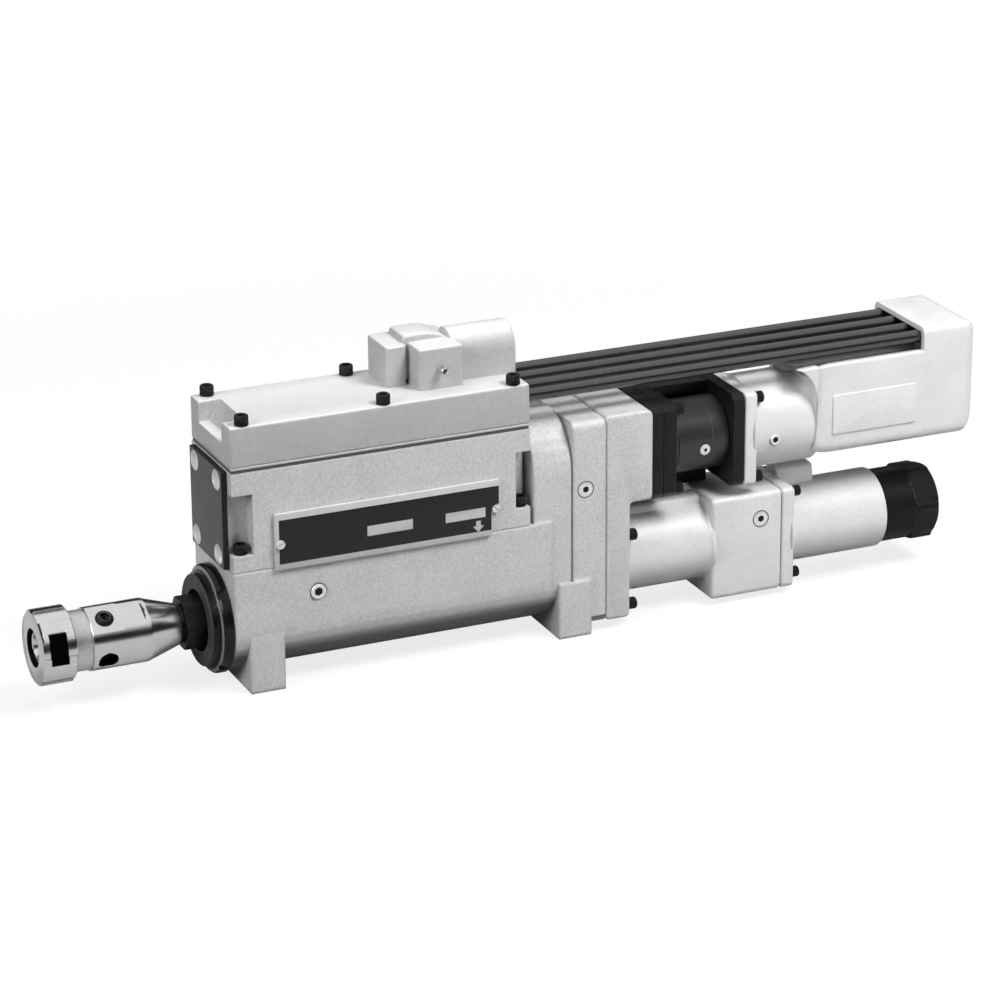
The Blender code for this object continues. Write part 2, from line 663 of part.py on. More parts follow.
def lower_housing():
    """Casting with a U section, two feet and the upright that carries the gears."""
    rise = SPINDLE_Z - HOUSING_FLOOR
    trough = [(HALF_WIDTH, HOUSING_TOP)]
    trough += [(HALF_WIDTH * cos(-pi * i / 18), SPINDLE_Z + rise * sin(-pi * i / 18)) for i in range(19)]
    trough.append((-HALF_WIDTH, HOUSING_TOP))
    housing = plate("lower_housing", [trough], "X", 0.0, UPRIGHT_START + 12 * MM, CASTING)
    for name, start in (("front_foot", FRONT_FOOT_X), ("rear_foot", REAR_FOOT_X)):
        join(housing, box(name, (start, -HALF_WIDTH, 0.0), (start + FOOT_WIDTH, HALF_WIDTH, SPINDLE_Z - 3 * MM),
                          tool=True))
    upright = [(UPRIGHT_HALF_WIDTH * cos(pi * i / 14), MOTOR_Z + UPRIGHT_HALF_WIDTH * sin(pi * i / 14))
               for i in range(15)]
    upright += [(-UPRIGHT_HALF_WIDTH * cos(pi * i / 14), SPINDLE_Z - (rise - 0.6 * MM) * sin(pi * i / 14))
                for i in range(15)]
    join(housing, plate("upright", [upright], "X", UPRIGHT_START, UPRIGHT_END, tool=True))
    join(housing, plate("neck", [[(y * 0.93, 3 * MM + z * 0.965) for y, z in upright]], "X",
                        UPRIGHT_END - 1 * MM, FLANGE_START + 1 * MM, tool=True))
    join(housing, box("flange", (FLANGE_START, -FLANGE_HALF_WIDTH, FLANGE_FLOOR),
                      (HOUSING_END, FLANGE_HALF_WIDTH, FLANGE_TOP), tool=True, radius=5 * MM, along="X"))
    cut(housing, rod("spindle_bore", (-1 * MM, 0, SPINDLE_Z), (HOUSING_END + 1 * MM, 0, SPINDLE_Z),
                     HOUSING_BORE_R, tool=True))
    cut(housing, box("yoke_slot", (YOKE_SLOT_START, -YOKE_SLOT_HALF, SPINDLE_Z),
                     (YOKE_SLOT_END, YOKE_SLOT_HALF, HOUSING_TOP + 1 * MM), tool=True))
    cut(housing, rod("idler_pin_hole", (IDLER_PIN_START - SEAT_GAP, 0, IDLER_Z), (HOUSING_END + 1 * MM, 0, IDLER_Z),
                     IDLER_PIN_R + SEAT_GAP, tool=True, steps=12))
    cut(housing, rod("pinion_shaft_hole", (PINION_SHAFT_START - SEAT_GAP, 0, MOTOR_Z),
                     (HOUSING_END + 1 * MM, 0, MOTOR_Z), PINION_SHAFT_R + RUN_GAP, tool=True, steps=24))
    for name, x, y in block_screw_places():
        cut(housing, screw_hole(name + "_thread", x, y, BLOCK_SCREW_BOTTOM - SEAT_GAP, HOUSING_TOP + 1 * MM))
    cut(housing, side_plug_hole("side_plug_hole", SIDE_PLUG_X, SIDE_PLUG_Z, -HALF_WIDTH, SIDE_PLUG_R))
    return housing


def control_block():
    """Valve block with a stroke window, a spool bore and pockets for its four screws."""
    block = box("control_block", (0.0, -HALF_WIDTH, BLOCK_BASE), (BLOCK_LENGTH, HALF_WIDTH, BLOCK_TOP), CASTING)
    cut(block, box("trip_cavity", (CAVITY_END_WALL, -CAVITY_HALF_WIDTH, BLOCK_BASE - 1 * MM),
                   (BLOCK_LENGTH - CAVITY_END_WALL, CAVITY_HALF_WIDTH, BLOCK_BASE + CAVITY_HEIGHT), tool=True,
                   radius=4 * MM, along="Z"))
    cut(block, box("stroke_window", (WINDOW_END_WALL, -HALF_WIDTH - 1 * MM, WINDOW_LOW),
                   (BLOCK_LENGTH - WINDOW_END_WALL, -CAVITY_HALF_WIDTH + 1 * MM, WINDOW_HIGH), tool=True,
                   radius=4 * MM, along="Y"))
    for side in (-1, 1):
        inner = HALF_WIDTH - POCKET_DEPTH
        lows = sorted((side * inner, side * (HALF_WIDTH + 2 * MM)))
        cut(block, box("front_pocket", (-1 * MM, lows[0], POCKET_FLOOR), (POCKET_LENGTH, lows[1], POCKET_TOP),
                       tool=True))
        cut(block, box("rear_pocket", (BLOCK_LENGTH - POCKET_REAR_LENGTH, lows[0], POCKET_FLOOR + 2 * MM),
                       (BLOCK_LENGTH + 1 * MM, lows[1], POCKET_TOP), tool=True))
    cut(block, rod("spool_bore", (CAVITY_END_WALL - 8 * MM, 0, SPOOL_Z), (BLOCK_LENGTH + 1 * MM, 0, SPOOL_Z),
                   SPOOL_R + RUN_GAP, tool=True, steps=12))
    for number, x in enumerate(PORT_X):
        cut(block, rod("port_%d" % number, (x, 0, SPOOL_Z), (x, 0, BLOCK_TOP + 1 * MM), PORT_R, tool=True, steps=12))
    cut(block, rod("stroke_rod_holes", (CAVITY_END_WALL - STROKE_ROD_SEAT, STROKE_ROD_Y, STROKE_ROD_Z),
                   (BLOCK_LENGTH - CAVITY_END_WALL + STROKE_ROD_SEAT, STROKE_ROD_Y, STROKE_ROD_Z),
                   STROKE_ROD_R + SEAT_GAP, tool=True, steps=12))
    for name, x, y in block_screw_places():
        cut(block, screw_hole(name + "_hole", x, y, BLOCK_BASE - 1 * MM, POCKET_FLOOR + 3 * MM))
    for name, x, y in lid_screw_places():
        cut(block, screw_hole(name + "_thread", x, y, BLOCK_TOP - LID_SCREW_GRIP, BLOCK_TOP + 1 * MM))
    for name, x in (("pivot", PIVOT_X), ("latch", LATCH_X)):
        cut(block, rod(name + "_thread", (x, -HALF_WIDTH - 1 * MM, PIVOT_Z), (x, -HALF_WIDTH + 8 * MM, PIVOT_Z),
                       SMALL_SCREW_R + SEAT_GAP, tool=True, steps=12))
    return block


def lid_gasket():
    """Thin gasket between block and lid, with its window and screw holes."""
    edge = 0.6 * MM
    outline = [(edge, -HALF_WIDTH + edge), (BLOCK_LENGTH - edge, -HALF_WIDTH + edge),
               (BLOCK_LENGTH - edge, HALF_WIDTH - edge), (edge, HALF_WIDTH - edge)]
    window = [(LID_HOLLOW_START, -LID_HOLLOW_HALF), (LID_HOLLOW_END, -LID_HOLLOW_HALF),
              (LID_HOLLOW_END, LID_HOLLOW_HALF), (LID_HOLLOW_START, LID_HOLLOW_HALF)]
    holes = [circle(SCREW_HOLE_R, SMALL_STEPS, x, y) for name, x, y in lid_screw_places()]
    return plate("lid_gasket", [outline, window] + holes, "Z", GASKET_BASE, GASKET_BASE + GASKET_THICKNESS, PAPER)


def lid():
    """Cast lid with the notch between its front columns and the valve housings on top."""
    cover = box("lid", (0.0, -HALF_WIDTH, LID_BASE), (BLOCK_LENGTH, HALF_WIDTH, LID_TOP), CASTING)
    notch = [(-1 * MM, LID_TOP - LID_NOTCH_DEPTH), (LID_NOTCH_LENGTH - LID_NOTCH_SLOPE, LID_TOP - LID_NOTCH_DEPTH),
             (LID_NOTCH_LENGTH, LID_TOP + 1 * MM), (-1 * MM, LID_TOP + 1 * MM)]
    cut(cover, plate("lid_notch", [notch], "Y", -LID_NOTCH_HALF, LID_NOTCH_HALF, tool=True))
    cut(cover, box("lid_hollow", (LID_HOLLOW_START, -LID_HOLLOW_HALF, LID_BASE - 1 * MM),
                   (LID_HOLLOW_END, LID_HOLLOW_HALF, LID_BASE + LID_HOLLOW_HEIGHT), tool=True))
    base = LID_TOP - 3 * MM
    lobe = 7.0 * MM
    lobe_x = VALVE_BOX_START + 1 * MM - lobe
    front_valve = [(VALVE_BOX_START + 2 * MM, VALVE_FAR_SIDE), (FRONT_VALVE_START, VALVE_FAR_SIDE),
                   (FRONT_VALVE_START, FRONT_VALVE_SIDE)]
    front_valve += arc(lobe, radians(90), radians(0), 5, lobe_x, FRONT_VALVE_SIDE - lobe)
    front_valve.append((VALVE_BOX_START + 2 * MM, FRONT_VALVE_SIDE - lobe))
    join(cover, plate("front_valve", [front_valve], "Z", base, VALVE_TOP, tool=True))
    join(cover, box("valve_box", (VALVE_BOX_START, VALVE_BOX_SIDE, base),
                    (VALVE_BOX_END, VALVE_FAR_SIDE - 1 * MM, VALVE_TOP + 0.6 * MM), tool=True, radius=2.5 * MM, along="X"))
    crown = arc(CROWN_R, radians(20), radians(160), 8, VALVE_BOX_START + VALVE_BOX_LENGTH / 2,
                VALVE_TOP + CROWN_RISE - CROWN_R)
    join(cover, plate("valve_crown", [crown], "Y", FRONT_VALVE_SIDE + 7 * MM, VALVE_FAR_SIDE - 3 * MM, tool=True))
    barrel = arc(BARREL_R, 0.0, pi, 16, BARREL_Y, BARREL_Z)
    barrel += [(BARREL_Y - BARREL_R, base), (BARREL_Y + BARREL_R, base)]
    join(cover, plate("valve_barrel", [barrel], "X", VALVE_BOX_END - 3 * MM, BARREL_END, tool=True))
    for number, y in enumerate(tube_places()):
        cut(cover, rod("lid_tube_hole_%d" % number, (BLOCK_LENGTH - TUBE_SOCKET, y, TUBE_Z),
                       (BLOCK_LENGTH + 1 * MM, y, TUBE_Z), TUBE_HOLE_R, tool=True, steps=12))
    for name, x, y in lid_screw_places():
        cut(cover, screw_hole(name + "_hole", x, y, LID_BASE - 1 * MM, LID_TOP + 1 * MM))
    cut(cover, rod("fitting_hole", (FITTING_X, VALVE_BOX_SIDE - 1 * MM, FITTING_Z),
                   (FITTING_X, VALVE_BOX_SIDE + 6 * MM, FITTING_Z), FITTING_R + SEAT_GAP, tool=True, steps=12))
    return cover


def air_fitting():
    """Short tube fitting on the side of the valve box."""
    profile = [(FITTING_R, 7.0 * MM), (FITTING_R, -5.0 * MM), (1.4 * MM, -5.0 * MM), (1.4 * MM, 7.0 * MM)]
    return turned("air_fitting", profile, (FITTING_X, VALVE_BOX_SIDE, FITTING_Z), BRIGHT, steps=12,
                  turn=(pi / 2, 0.0, 0.0))


def screws():
    """Cap screws of the lid and of the control block."""
    for name, x, y in lid_screw_places():
        cap_screw(name, x, y, LID_TOP, LID_TOP - BLOCK_TOP + LID_SCREW_GRIP)
    for name, x, y in block_screw_places():
        seat = POCKET_FLOOR if x < BLOCK_LENGTH / 2 else POCKET_FLOOR + 2 * MM
        cap_screw(name, x, y, seat, seat + SEAT_GAP - BLOCK_SCREW_BOTTOM)


def front_plate():
    """Black plate on the front of the block, held by four screws that show as buttons."""
    plate_low = BLOCK_BASE + 0.5 * MM
    front = box("front_plate", (-SEAT_GAP - PLATE_THICKNESS, -PLATE_HALF_WIDTH, plate_low),
                (-SEAT_GAP, PLATE_HALF_WIDTH, BLOCK_TOP), BLACK, radius=1.5 * MM, along="X", segments=2)
    face = -SEAT_GAP - PLATE_THICKNESS
    reach = PLATE_HALF_WIDTH - PLATE_SCREW_INSET_Y
    for number, (side, z) in enumerate(((-1, plate_low + PLATE_SCREW_INSET_Z), (1, plate_low + PLATE_SCREW_INSET_Z),
                                        (-1, BLOCK_TOP - PLATE_SCREW_INSET_Z), (1, BLOCK_TOP - PLATE_SCREW_INSET_Z))):
        join(front, rod("front_plate_screw_%d" % number, (face - PLATE_BUTTON_RISE, side * reach, z),
                        (face + 1 * MM, side * reach, z), PLATE_BUTTON_R * 0.7, tool=True, steps=16,
                        end_radius=PLATE_BUTTON_R * 1.15))
        cut(front, box("button_slot_%d" % number, (face - 3 * MM, side * reach - PLATE_BUTTON_SLOT / 2, z - 2 * MM),
                       (face - PLATE_BUTTON_RISE / 2, side * reach + PLATE_BUTTON_SLOT / 2, z + 2 * MM), tool=True))
    return front


def front_ring():
    """Stepped ring with spanner notches around the spindle nose."""
    bore = SHAFT_R + 1.2 * MM
    back = -SEAT_GAP
    front = back - RING_LENGTH
    step = back - RING_RIM - 1.4 * MM
    recess = NOSE_HEX_R + 2.2 * MM
    profile = [(RING_R, back), (RING_R, back - RING_RIM), (RING_R - 1.4 * MM, step), (RING_STEP_R, step),
               (RING_FACE_R, step), (RING_FACE_R, front), (recess, front), (recess, front + RING_RECESS),
               (bore, front + RING_RECESS), (bore, back)]
    ring = turned_x("front_ring", profile, BLACK, steps=28)
    for number in range(4):
        angle = radians(45 + 90 * number)
        y = (RING_R + 1 * MM) * cos(angle)
        z = SPINDLE_Z + (RING_R + 1 * MM) * sin(angle)
        cut(ring, rod("ring_notch_%d" % number, (front - 1 * MM, y, z), (back - 1.5 * MM, y, z), 3.2 * MM,
                      tool=True, steps=10))
    return ring


def bushings():
    """Plain bearings of the spindle and of the drive gear."""
    ring_x("front_bushing", 1.0 * MM, 1.0 * MM + BUSHING_LENGTH, HOUSING_BORE_R - SEAT_GAP, SHAFT_R + RUN_GAP, BRONZE)
    ring_x("gear_bearing", GEAR_HUB_START, HOUSING_END - 1 * MM, HOUSING_BORE_R - SEAT_GAP,
           GEAR_HUB_R + RUN_GAP, BRONZE)


def drive_gear():
    """Gear on the spindle splines, with a hub that turns in the housing."""
    outline = shift_outline(gear_outline(DRIVE_TEETH, GEAR_MODULE, radians(90) - pi / DRIVE_TEETH), 0, SPINDLE_Z)
    gear = plate("drive_gear", [outline], "X", GEAR_START, GEAR_START + GEAR_FACE, STEEL)
    join(gear, rod("gear_hub", (GEAR_HUB_START + 1 * MM, 0, SPINDLE_Z), (GEAR_START + 1 * MM, 0, SPINDLE_Z), GEAR_HUB_R,
                   tool=True))
    hole = shift_outline(spline_outline(SHAFT_R - 0.4 * MM, SPLINE_ROOT_R, SPLINE_HALF_ANGLE, RUN_GAP), 0, SPINDLE_Z)
    cut(gear, plate("spline_hole", [hole], "X", GEAR_HUB_START, GEAR_START + GEAR_FACE + 1 * MM, tool=True))
    return gear


def idler_gear():
    """Idler between the drive gear and the pinion, on its pin."""
    outline = shift_outline(gear_outline(IDLER_TEETH, GEAR_MODULE, radians(-90)), 0, IDLER_Z)
    hole = circle(IDLER_PIN_R + RUN_GAP, 16, 0, IDLER_Z)
    return plate("idler_gear", [outline, hole], "X", GEAR_START, GEAR_START + GEAR_FACE, STEEL)


def idler_pin():
    """Pin of the idler, seated in the housing."""
    end = HOUSING_END + GEAR_CAVITY_DEPTH - SEAT_GAP
    return rod("idler_pin", (IDLER_PIN_START, 0, IDLER_Z), (end, 0, IDLER_Z), IDLER_PIN_R, STEEL, steps=24)


def output_pinion():
    """Pinion keyed on the planet carrier's shaft."""
    outline = shift_outline(gear_outline(PINION_TEETH, GEAR_MODULE, PINION_PHASE), 0, MOTOR_Z)
    hole = circle(PINION_SHAFT_R + SEAT_GAP, 16, 0, MOTOR_Z)
    return plate("output_pinion", [outline, hole], "X", GEAR_START, GEAR_START + GEAR_FACE, STEEL)


def gear_cover():
    """L shaped cover over the gears, deeper where the gear box bolts on."""
    outline = [(HOUSING_END + SEAT_GAP, FLANGE_FLOOR), (COVER_LOW_END, FLANGE_FLOOR), (COVER_LOW_END, COVER_STEP_Z),
               (COVER_HIGH_END, COVER_STEP_Z), (COVER_HIGH_END, COVER_TOP - COVER_BEVEL),
               (COVER_HIGH_END - COVER_BEVEL, COVER_TOP), (HOUSING_END + SEAT_GAP, COVER_TOP)]
    cover = plate("gear_cover", [outline], "Y", -FLANGE_HALF_WIDTH, FLANGE_HALF_WIDTH, CASTING)
    depth = HOUSING_END + SEAT_GAP + GEAR_CAVITY_DEPTH
    start = HOUSING_END - 1 * MM
    tip = GEAR_MODULE + 1.6 * MM
    for name, z, teeth in (("drive_room", SPINDLE_Z, DRIVE_TEETH), ("idler_room", IDLER_Z, IDLER_TEETH),
                           ("pinion_room", MOTOR_Z, PINION_TEETH)):
        cut(cover, rod(name, (start, 0, z), (depth, 0, z), teeth * GEAR_MODULE / 2 + tip, tool=True, steps=28))
    cut(cover, rod("spindle_way", (start, 0, SPINDLE_Z), (COVER_LOW_END + 1 * MM, 0, SPINDLE_Z),
                   SCREW_HOUSING_BORE_R, tool=True))
    cut(cover, rod("pinion_way", (start, 0, MOTOR_Z), (COVER_HIGH_END + 1 * MM, 0, MOTOR_Z),
                   PINION_SHAFT_R + RUN_GAP, tool=True, steps=24))
    reach = FLANGE_HALF_WIDTH - 5.8 * MM
    for number, (side, z) in enumerate(((-1, FLANGE_FLOOR + 7.0 * MM), (1, FLANGE_FLOOR + 7.0 * MM),
                                        (-1, COVER_STEP_Z - 23.6 * MM), (1, COVER_STEP_Z - 23.6 * MM))):
        join(cover, rod("cover_screw_%d" % number, (COVER_LOW_END - 1 * MM, side * reach, z),
                        (COVER_LOW_END + COVER_SCREW_HEAD, side * reach, z), 3.9 * MM, tool=True, steps=10))
    return cover


def square_plate(name, start, end, hole, look, corner=4.0 * MM):
    """Plate with cut corners around the motor axis."""
    half = PLATE_HALF
    outline = [(-half, PLATE_LOW + corner), (-half + corner, PLATE_LOW), (half - corner, PLATE_LOW),
               (half, PLATE_LOW + corner), (half, PLATE_HIGH - corner), (half - corner, PLATE_HIGH),
               (-half + corner, PLATE_HIGH), (-half, PLATE_HIGH - corner)]
    return plate(name, [outline, circle(hole, 28, 0, MOTOR_Z)], "X", start, end, look)


def gear_box():
    """Plates and the ring gear between them."""
    square_plate("front_gear_plate", COVER_HIGH_END + SEAT_GAP, FRONT_PLATE_END, PINION_SHAFT_R + RUN_GAP, BLACK)
    middle = square_plate("middle_gear_plate", FRONT_PLATE_END + SEAT_GAP, MIDDLE_PLATE_END, CARRIER_R + 1.5 * MM, BLACK)
    rear = square_plate("rear_gear_plate", RING_GEAR_END + SEAT_GAP, REAR_PLATE_END, ROTOR_SHAFT_R + 3 * MM, BLACK)
    head = 4.2 * MM
    for number, z in enumerate((PLATE_LOW + head, PLATE_HIGH - head)):
        join(middle, rod("gear_plate_screw_%d" % number, (MIDDLE_PLATE_END - 1 * MM, -PLATE_HALF + head, z),
                         (MIDDLE_PLATE_END + 6 * MM, -PLATE_HALF + head, z), head, tool=True, steps=12))
    teeth = gear_outline(RING_TEETH, PLANET_MODULE, RING_PHASE, inner=True, z=MOTOR_Z, flank=PLANET_FLANK)
    turn = acos(GEAR_CASE_WEB_Y / RING_GEAR_R)
    case = arc(RING_GEAR_R, turn, 2 * pi - turn, 22, 0, MOTOR_Z)
    case += [(GEAR_CASE_WEB_Y, GEAR_CASE_FOOT), (PLATE_HALF - 0.5 * MM, GEAR_CASE_FOOT),
             (PLATE_HALF - 0.5 * MM, PLATE_HIGH - 0.5 * MM), (GEAR_CASE_WEB_Y, PLATE_HIGH - 0.5 * MM)]
    plate("ring_gear", [case, teeth], "X", MIDDLE_PLATE_END + SEAT_GAP, RING_GEAR_END, BLACK)
    return rear


def planet_carrier():
    """Carrier plate with three pins and the output shaft."""
    plate_start = PLANET_START - 1 * MM - CARRIER_PLATE
    profile = [(0.0, plate_start + CARRIER_PLATE), (CARRIER_R, plate_start + CARRIER_PLATE), (CARRIER_R, plate_start),
               (PINION_SHAFT_R, plate_start), (PINION_SHAFT_R, PINION_SHAFT_START), (0.0, PINION_SHAFT_START)]
    carrier = turned_x("planet_carrier", profile, STEEL, z=MOTOR_Z, steps=24)
    for number, angle in enumerate(PLANET_ANGLES):
        y = PLANET_ORBIT * cos(angle)
        z = MOTOR_Z + PLANET_ORBIT * sin(angle)
        join(carrier, rod("planet_pin_%d" % number, (plate_start + 1 * MM, y, z),
                          (PLANET_START + PLANET_FACE + 0.6 * MM, y, z), PLANET_PIN_R, tool=True, steps=10))
    return carrier


def planet_gears():
    """Three planets between the sun and the ring gear."""
    planets = []
    for number, angle in enumerate(PLANET_ANGLES):
        y = PLANET_ORBIT * cos(angle)
        z = MOTOR_Z + PLANET_ORBIT * sin(angle)
        phase = planet_phase(angle)
        outline = gear_outline(PLANET_TEETH, PLANET_MODULE, phase, y=y, z=z, flank=PLANET_FLANK)
        hole = circle(PLANET_PIN_R + RUN_GAP, 10, y, z)
        planets.append(plate("planet_gear_%d" % (number + 1), [outline, hole], "X", PLANET_START,
                             PLANET_START + PLANET_FACE, STEEL))
    return planets


def planet_phase(angle):
    """Turn of a planet at an angle of the carrier so that it meshes with the ring gear."""
    step = 2 * pi / RING_TEETH
    offset = ((angle - RING_PHASE) / step) % 1.0
    return angle - offset * 2 * pi / PLANET_TEETH


def sun_phase():
    """Turn of the sun so that it meshes with the first planet."""
    angle = PLANET_ANGLES[0]
    planet = planet_phase(angle)
    step = 2 * pi / PLANET_TEETH
    offset = ((angle + pi - planet) / step) % 1.0
    return angle + (offset + 0.5) * 2 * pi / SUN_TEETH


def rotor():
    """Motor rotor with its vanes drawn in, and the sun gear on its shaft."""
    start = MOTOR_BORE_START + END_PLATE + 2 * SEAT_GAP
    end = start + LINER_LENGTH - 2 * SEAT_GAP
    wheel = rod("rotor", (start, 0, MOTOR_Z), (end, 0, MOTOR_Z), ROTOR_R, STEEL, steps=24)
    for number in range(VANE_COUNT):
        angle = 2 * pi * number / VANE_COUNT
        groove = box("vane_groove_%d" % number, (start - 1 * MM, -VANE_THICKNESS / 2, ROTOR_R - VANE_DEPTH),
                     (end + 1 * MM, VANE_THICKNESS / 2, ROTOR_R + 1 * MM), tool=True)
        groove.data.transform(Matrix.Rotation(angle, 4, "X"))
        groove.data.transform(Matrix.Translation((0, 0, MOTOR_Z)))
        cut(wheel, groove)
    sun = gear_outline(SUN_TEETH, PLANET_MODULE, sun_phase(), z=MOTOR_Z, flank=PLANET_FLANK)
    join(wheel, rod("rotor_shaft", (PLANET_START + PLANET_FACE + 1 * MM, 0, MOTOR_Z), (end + ROTOR_TAIL, 0, MOTOR_Z),
                    ROTOR_SHAFT_R - 0.5 * MM, tool=True, steps=12))
    join(wheel, plate("sun_gear", [sun], "X", PLANET_START, PLANET_START + PLANET_FACE + 2 * MM, tool=True))
    return wheel


def motor_housing():
    """Casting of the motor: flange, round front, square rear and the cap that takes the air tubes."""
    housing = box("motor_housing", (MOTOR_START, -MOTOR_HALF_FLANGE, PLATE_LOW),
                  (MOTOR_FLANGE_END, MOTOR_HALF_FLANGE, PLATE_HIGH), CASTING, radius=4 * MM, along="X", segments=1)
    join(housing, rod("motor_round", (MOTOR_FLANGE_END - 2 * MM, 0, MOTOR_ROUND_Z),
                      (MOTOR_BOX_START + MOTOR_SHOULDER + 8 * MM, 0, MOTOR_ROUND_Z), MOTOR_ROUND_R, tool=True, steps=32))
    side = [(MOTOR_BOX_START, MOTOR_BOX_TOP)]
    side += [(MOTOR_BOX_START + MOTOR_SHOULDER * sin(step * pi / 12),
              MOTOR_BOX_TOP - MOTOR_SHOULDER_DROP * (1 - cos(step * pi / 12))) for step in range(1, 7)]
    side += [(MOTOR_BOX_START + MOTOR_SHOULDER, MOTOR_BOX_LOW), (CAP_START + 5 * MM, MOTOR_BOX_LOW),
             (CAP_START + 5 * MM, MOTOR_BOX_TOP)]
    join(housing, plate("motor_box", [side], "Y", -MOTOR_HALF_WIDTH, MOTOR_HALF_WIDTH, tool=True))
    join(housing, box("motor_cap", (CAP_START, -CAP_HALF_WIDTH, MOTOR_BOX_LOW - 0.3 * MM), (CAP_END, CAP_HALF_WIDTH, CAP_TOP),
                      tool=True, radius=5 * MM, along="XZ", segments=2))
    corner = [(CAP_START - 4 * MM, MOTOR_BOX_LOW - 9 * MM), (CAP_END + 5 * MM, MOTOR_BOX_LOW - 9 * MM),
              (CAP_END + 5 * MM, MOTOR_BOX_LOW + CAP_CORNER + 12 * MM), (CAP_END, MOTOR_BOX_LOW + CAP_CORNER),
              (CAP_END - 7.4 * MM, MOTOR_BOX_LOW + 4 * MM), (CAP_START - 4 * MM, MOTOR_BOX_LOW - 0.5 * MM)]
    cut(housing, plate("cap_corner", [corner], "Y", -CAP_HALF_WIDTH - 2 * MM, CAP_HALF_WIDTH + 2 * MM, tool=True))
    join(housing, box("name_pad", (PAD_START, -MOTOR_HALF_WIDTH - 0.8 * MM, PAD_LOW),
                      (PAD_START + PAD_LENGTH, -MOTOR_HALF_WIDTH + 9 * MM, PAD_LOW + PAD_HEIGHT), tool=True))
    cut(housing, rod("deck_dish", (MOTOR_BOX_START - 6 * MM, 0, DECK_Z + DECK_R), (CAP_START, 0, DECK_Z + DECK_R), DECK_R,
                     tool=True, steps=48))
    cut(housing, box("tube_pocket", (CAP_START - 1 * MM, -28.6 * MM, DECK_Z), (CAP_START + CAP_POCKET_DEPTH, 29.5 * MM, CAP_TOP - 3.9 * MM),
                     tool=True, radius=3 * MM, along="X"))
    for number, y in enumerate(tube_places()):
        cut(housing, rod("cap_tube_hole_%d" % number, (CAP_START, y, TUBE_Z), (TUBE_END + SEAT_GAP, y, TUBE_Z),
                         TUBE_HOLE_R, tool=True, steps=12))
    cut(housing, rod("motor_bore", (REAR_PLATE_END, 0, MOTOR_Z), (MOTOR_BORE_END, 0, MOTOR_Z), LINER_R + SEAT_GAP, tool=True))
    cut(housing, rod("tail_bore", (MOTOR_BORE_END - 1 * MM, 0, MOTOR_Z), (MOTOR_BORE_END + 10 * MM, 0, MOTOR_Z),
                     ROTOR_SHAFT_R + RUN_GAP, tool=True, steps=12))
    cut(housing, side_plug_hole("motor_plug_hole", MOTOR_PLUG_X, MOTOR_PLUG_Z, MOTOR_PLUG_WALL, MOTOR_PLUG_R))
    return housing


def motor_parts():
    """Liner and front end plate of the vane motor."""
    start = MOTOR_BORE_START + END_PLATE + SEAT_GAP
    liner = rod("motor_liner", (start, 0, MOTOR_Z), (start + LINER_LENGTH, 0, MOTOR_Z), LINER_R, STEEL, steps=24)
    cut(liner, rod("liner_bore", (start - 1 * MM, 0, MOTOR_Z - LINER_OFFSET),
                   (start + LINER_LENGTH + 1 * MM, 0, MOTOR_Z - LINER_OFFSET), LINER_BORE_R, tool=True, steps=24))
    ring_x("motor_end_plate", MOTOR_START, MOTOR_BORE_START + END_PLATE, LINER_R, ROTOR_SHAFT_R + RUN_GAP,
           STEEL, z=MOTOR_Z, steps=28)


def air_tubes():
    """Four tubes that carry air from the valves to the rear cap."""
    start = BLOCK_LENGTH - TUBE_SOCKET + SEAT_GAP
    for number, y in enumerate(tube_places()):
        rod("air_tube_%d" % (number + 1), (start, y, TUBE_Z), (TUBE_END, y, TUBE_Z), TUBE_R, BLACK, steps=12)


def bolt_places():
    """Y and Z of the four bolts between the screw block and the sleeve."""
    return [(side * BLOCK_BOLT_Y, SPINDLE_Z + rise * BLOCK_BOLT_Z) for side in (-1, 1) for rise in (-1, 1)]


def lead_screw_housing():
    """Tube and block that carry the lead screw behind the gears."""
    start = COVER_LOW_END + SEAT_GAP
    housing = rod("lead_screw_housing", (start, 0, SPINDLE_Z), (SCREW_BLOCK_START + 3 * MM, 0, SPINDLE_Z), FRONT_TUBE_R,
                  CASTING, steps=28)
    join(housing, box("screw_block", (SCREW_BLOCK_START, -SCREW_BLOCK_HALF, SCREW_BLOCK_LOW), (SCREW_BLOCK_END, SCREW_BLOCK_HALF, SCREW_BLOCK_HIGH),
                      tool=True, radius=4 * MM, along="XY", segments=2))
    foot = SPINDLE_Z + FRONT_TUBE_R * 0.75
    rail = [(-RAIL_HALF, foot), (RAIL_HALF, foot), (RAIL_HALF - 1 * MM, RAIL_TOP - 2.5 * MM),
            (RAIL_HALF - 5 * MM, RAIL_TOP), (5 * MM - RAIL_HALF, RAIL_TOP), (1 * MM - RAIL_HALF, RAIL_TOP - 2.5 * MM)]
    join(housing, plate("oil_rail", [rail], "X", start + 0.5 * MM, SCREW_BLOCK_START + 3 * MM, tool=True))
    cut(housing, rod("screw_bore", (start - 1 * MM, 0, SPINDLE_Z), (SCREW_BLOCK_END + 1 * MM, 0, SPINDLE_Z),
                     SCREW_HOUSING_BORE_R, tool=True))
    for number, (y, z) in enumerate(bolt_places()):
        cut(housing, rod("screw_block_thread_%d" % number, (SCREW_BLOCK_END - 10 * MM, y, z),
                         (SCREW_BLOCK_END + 1 * MM, y, z), 2.4 * MM, tool=True, steps=8))
    return housing


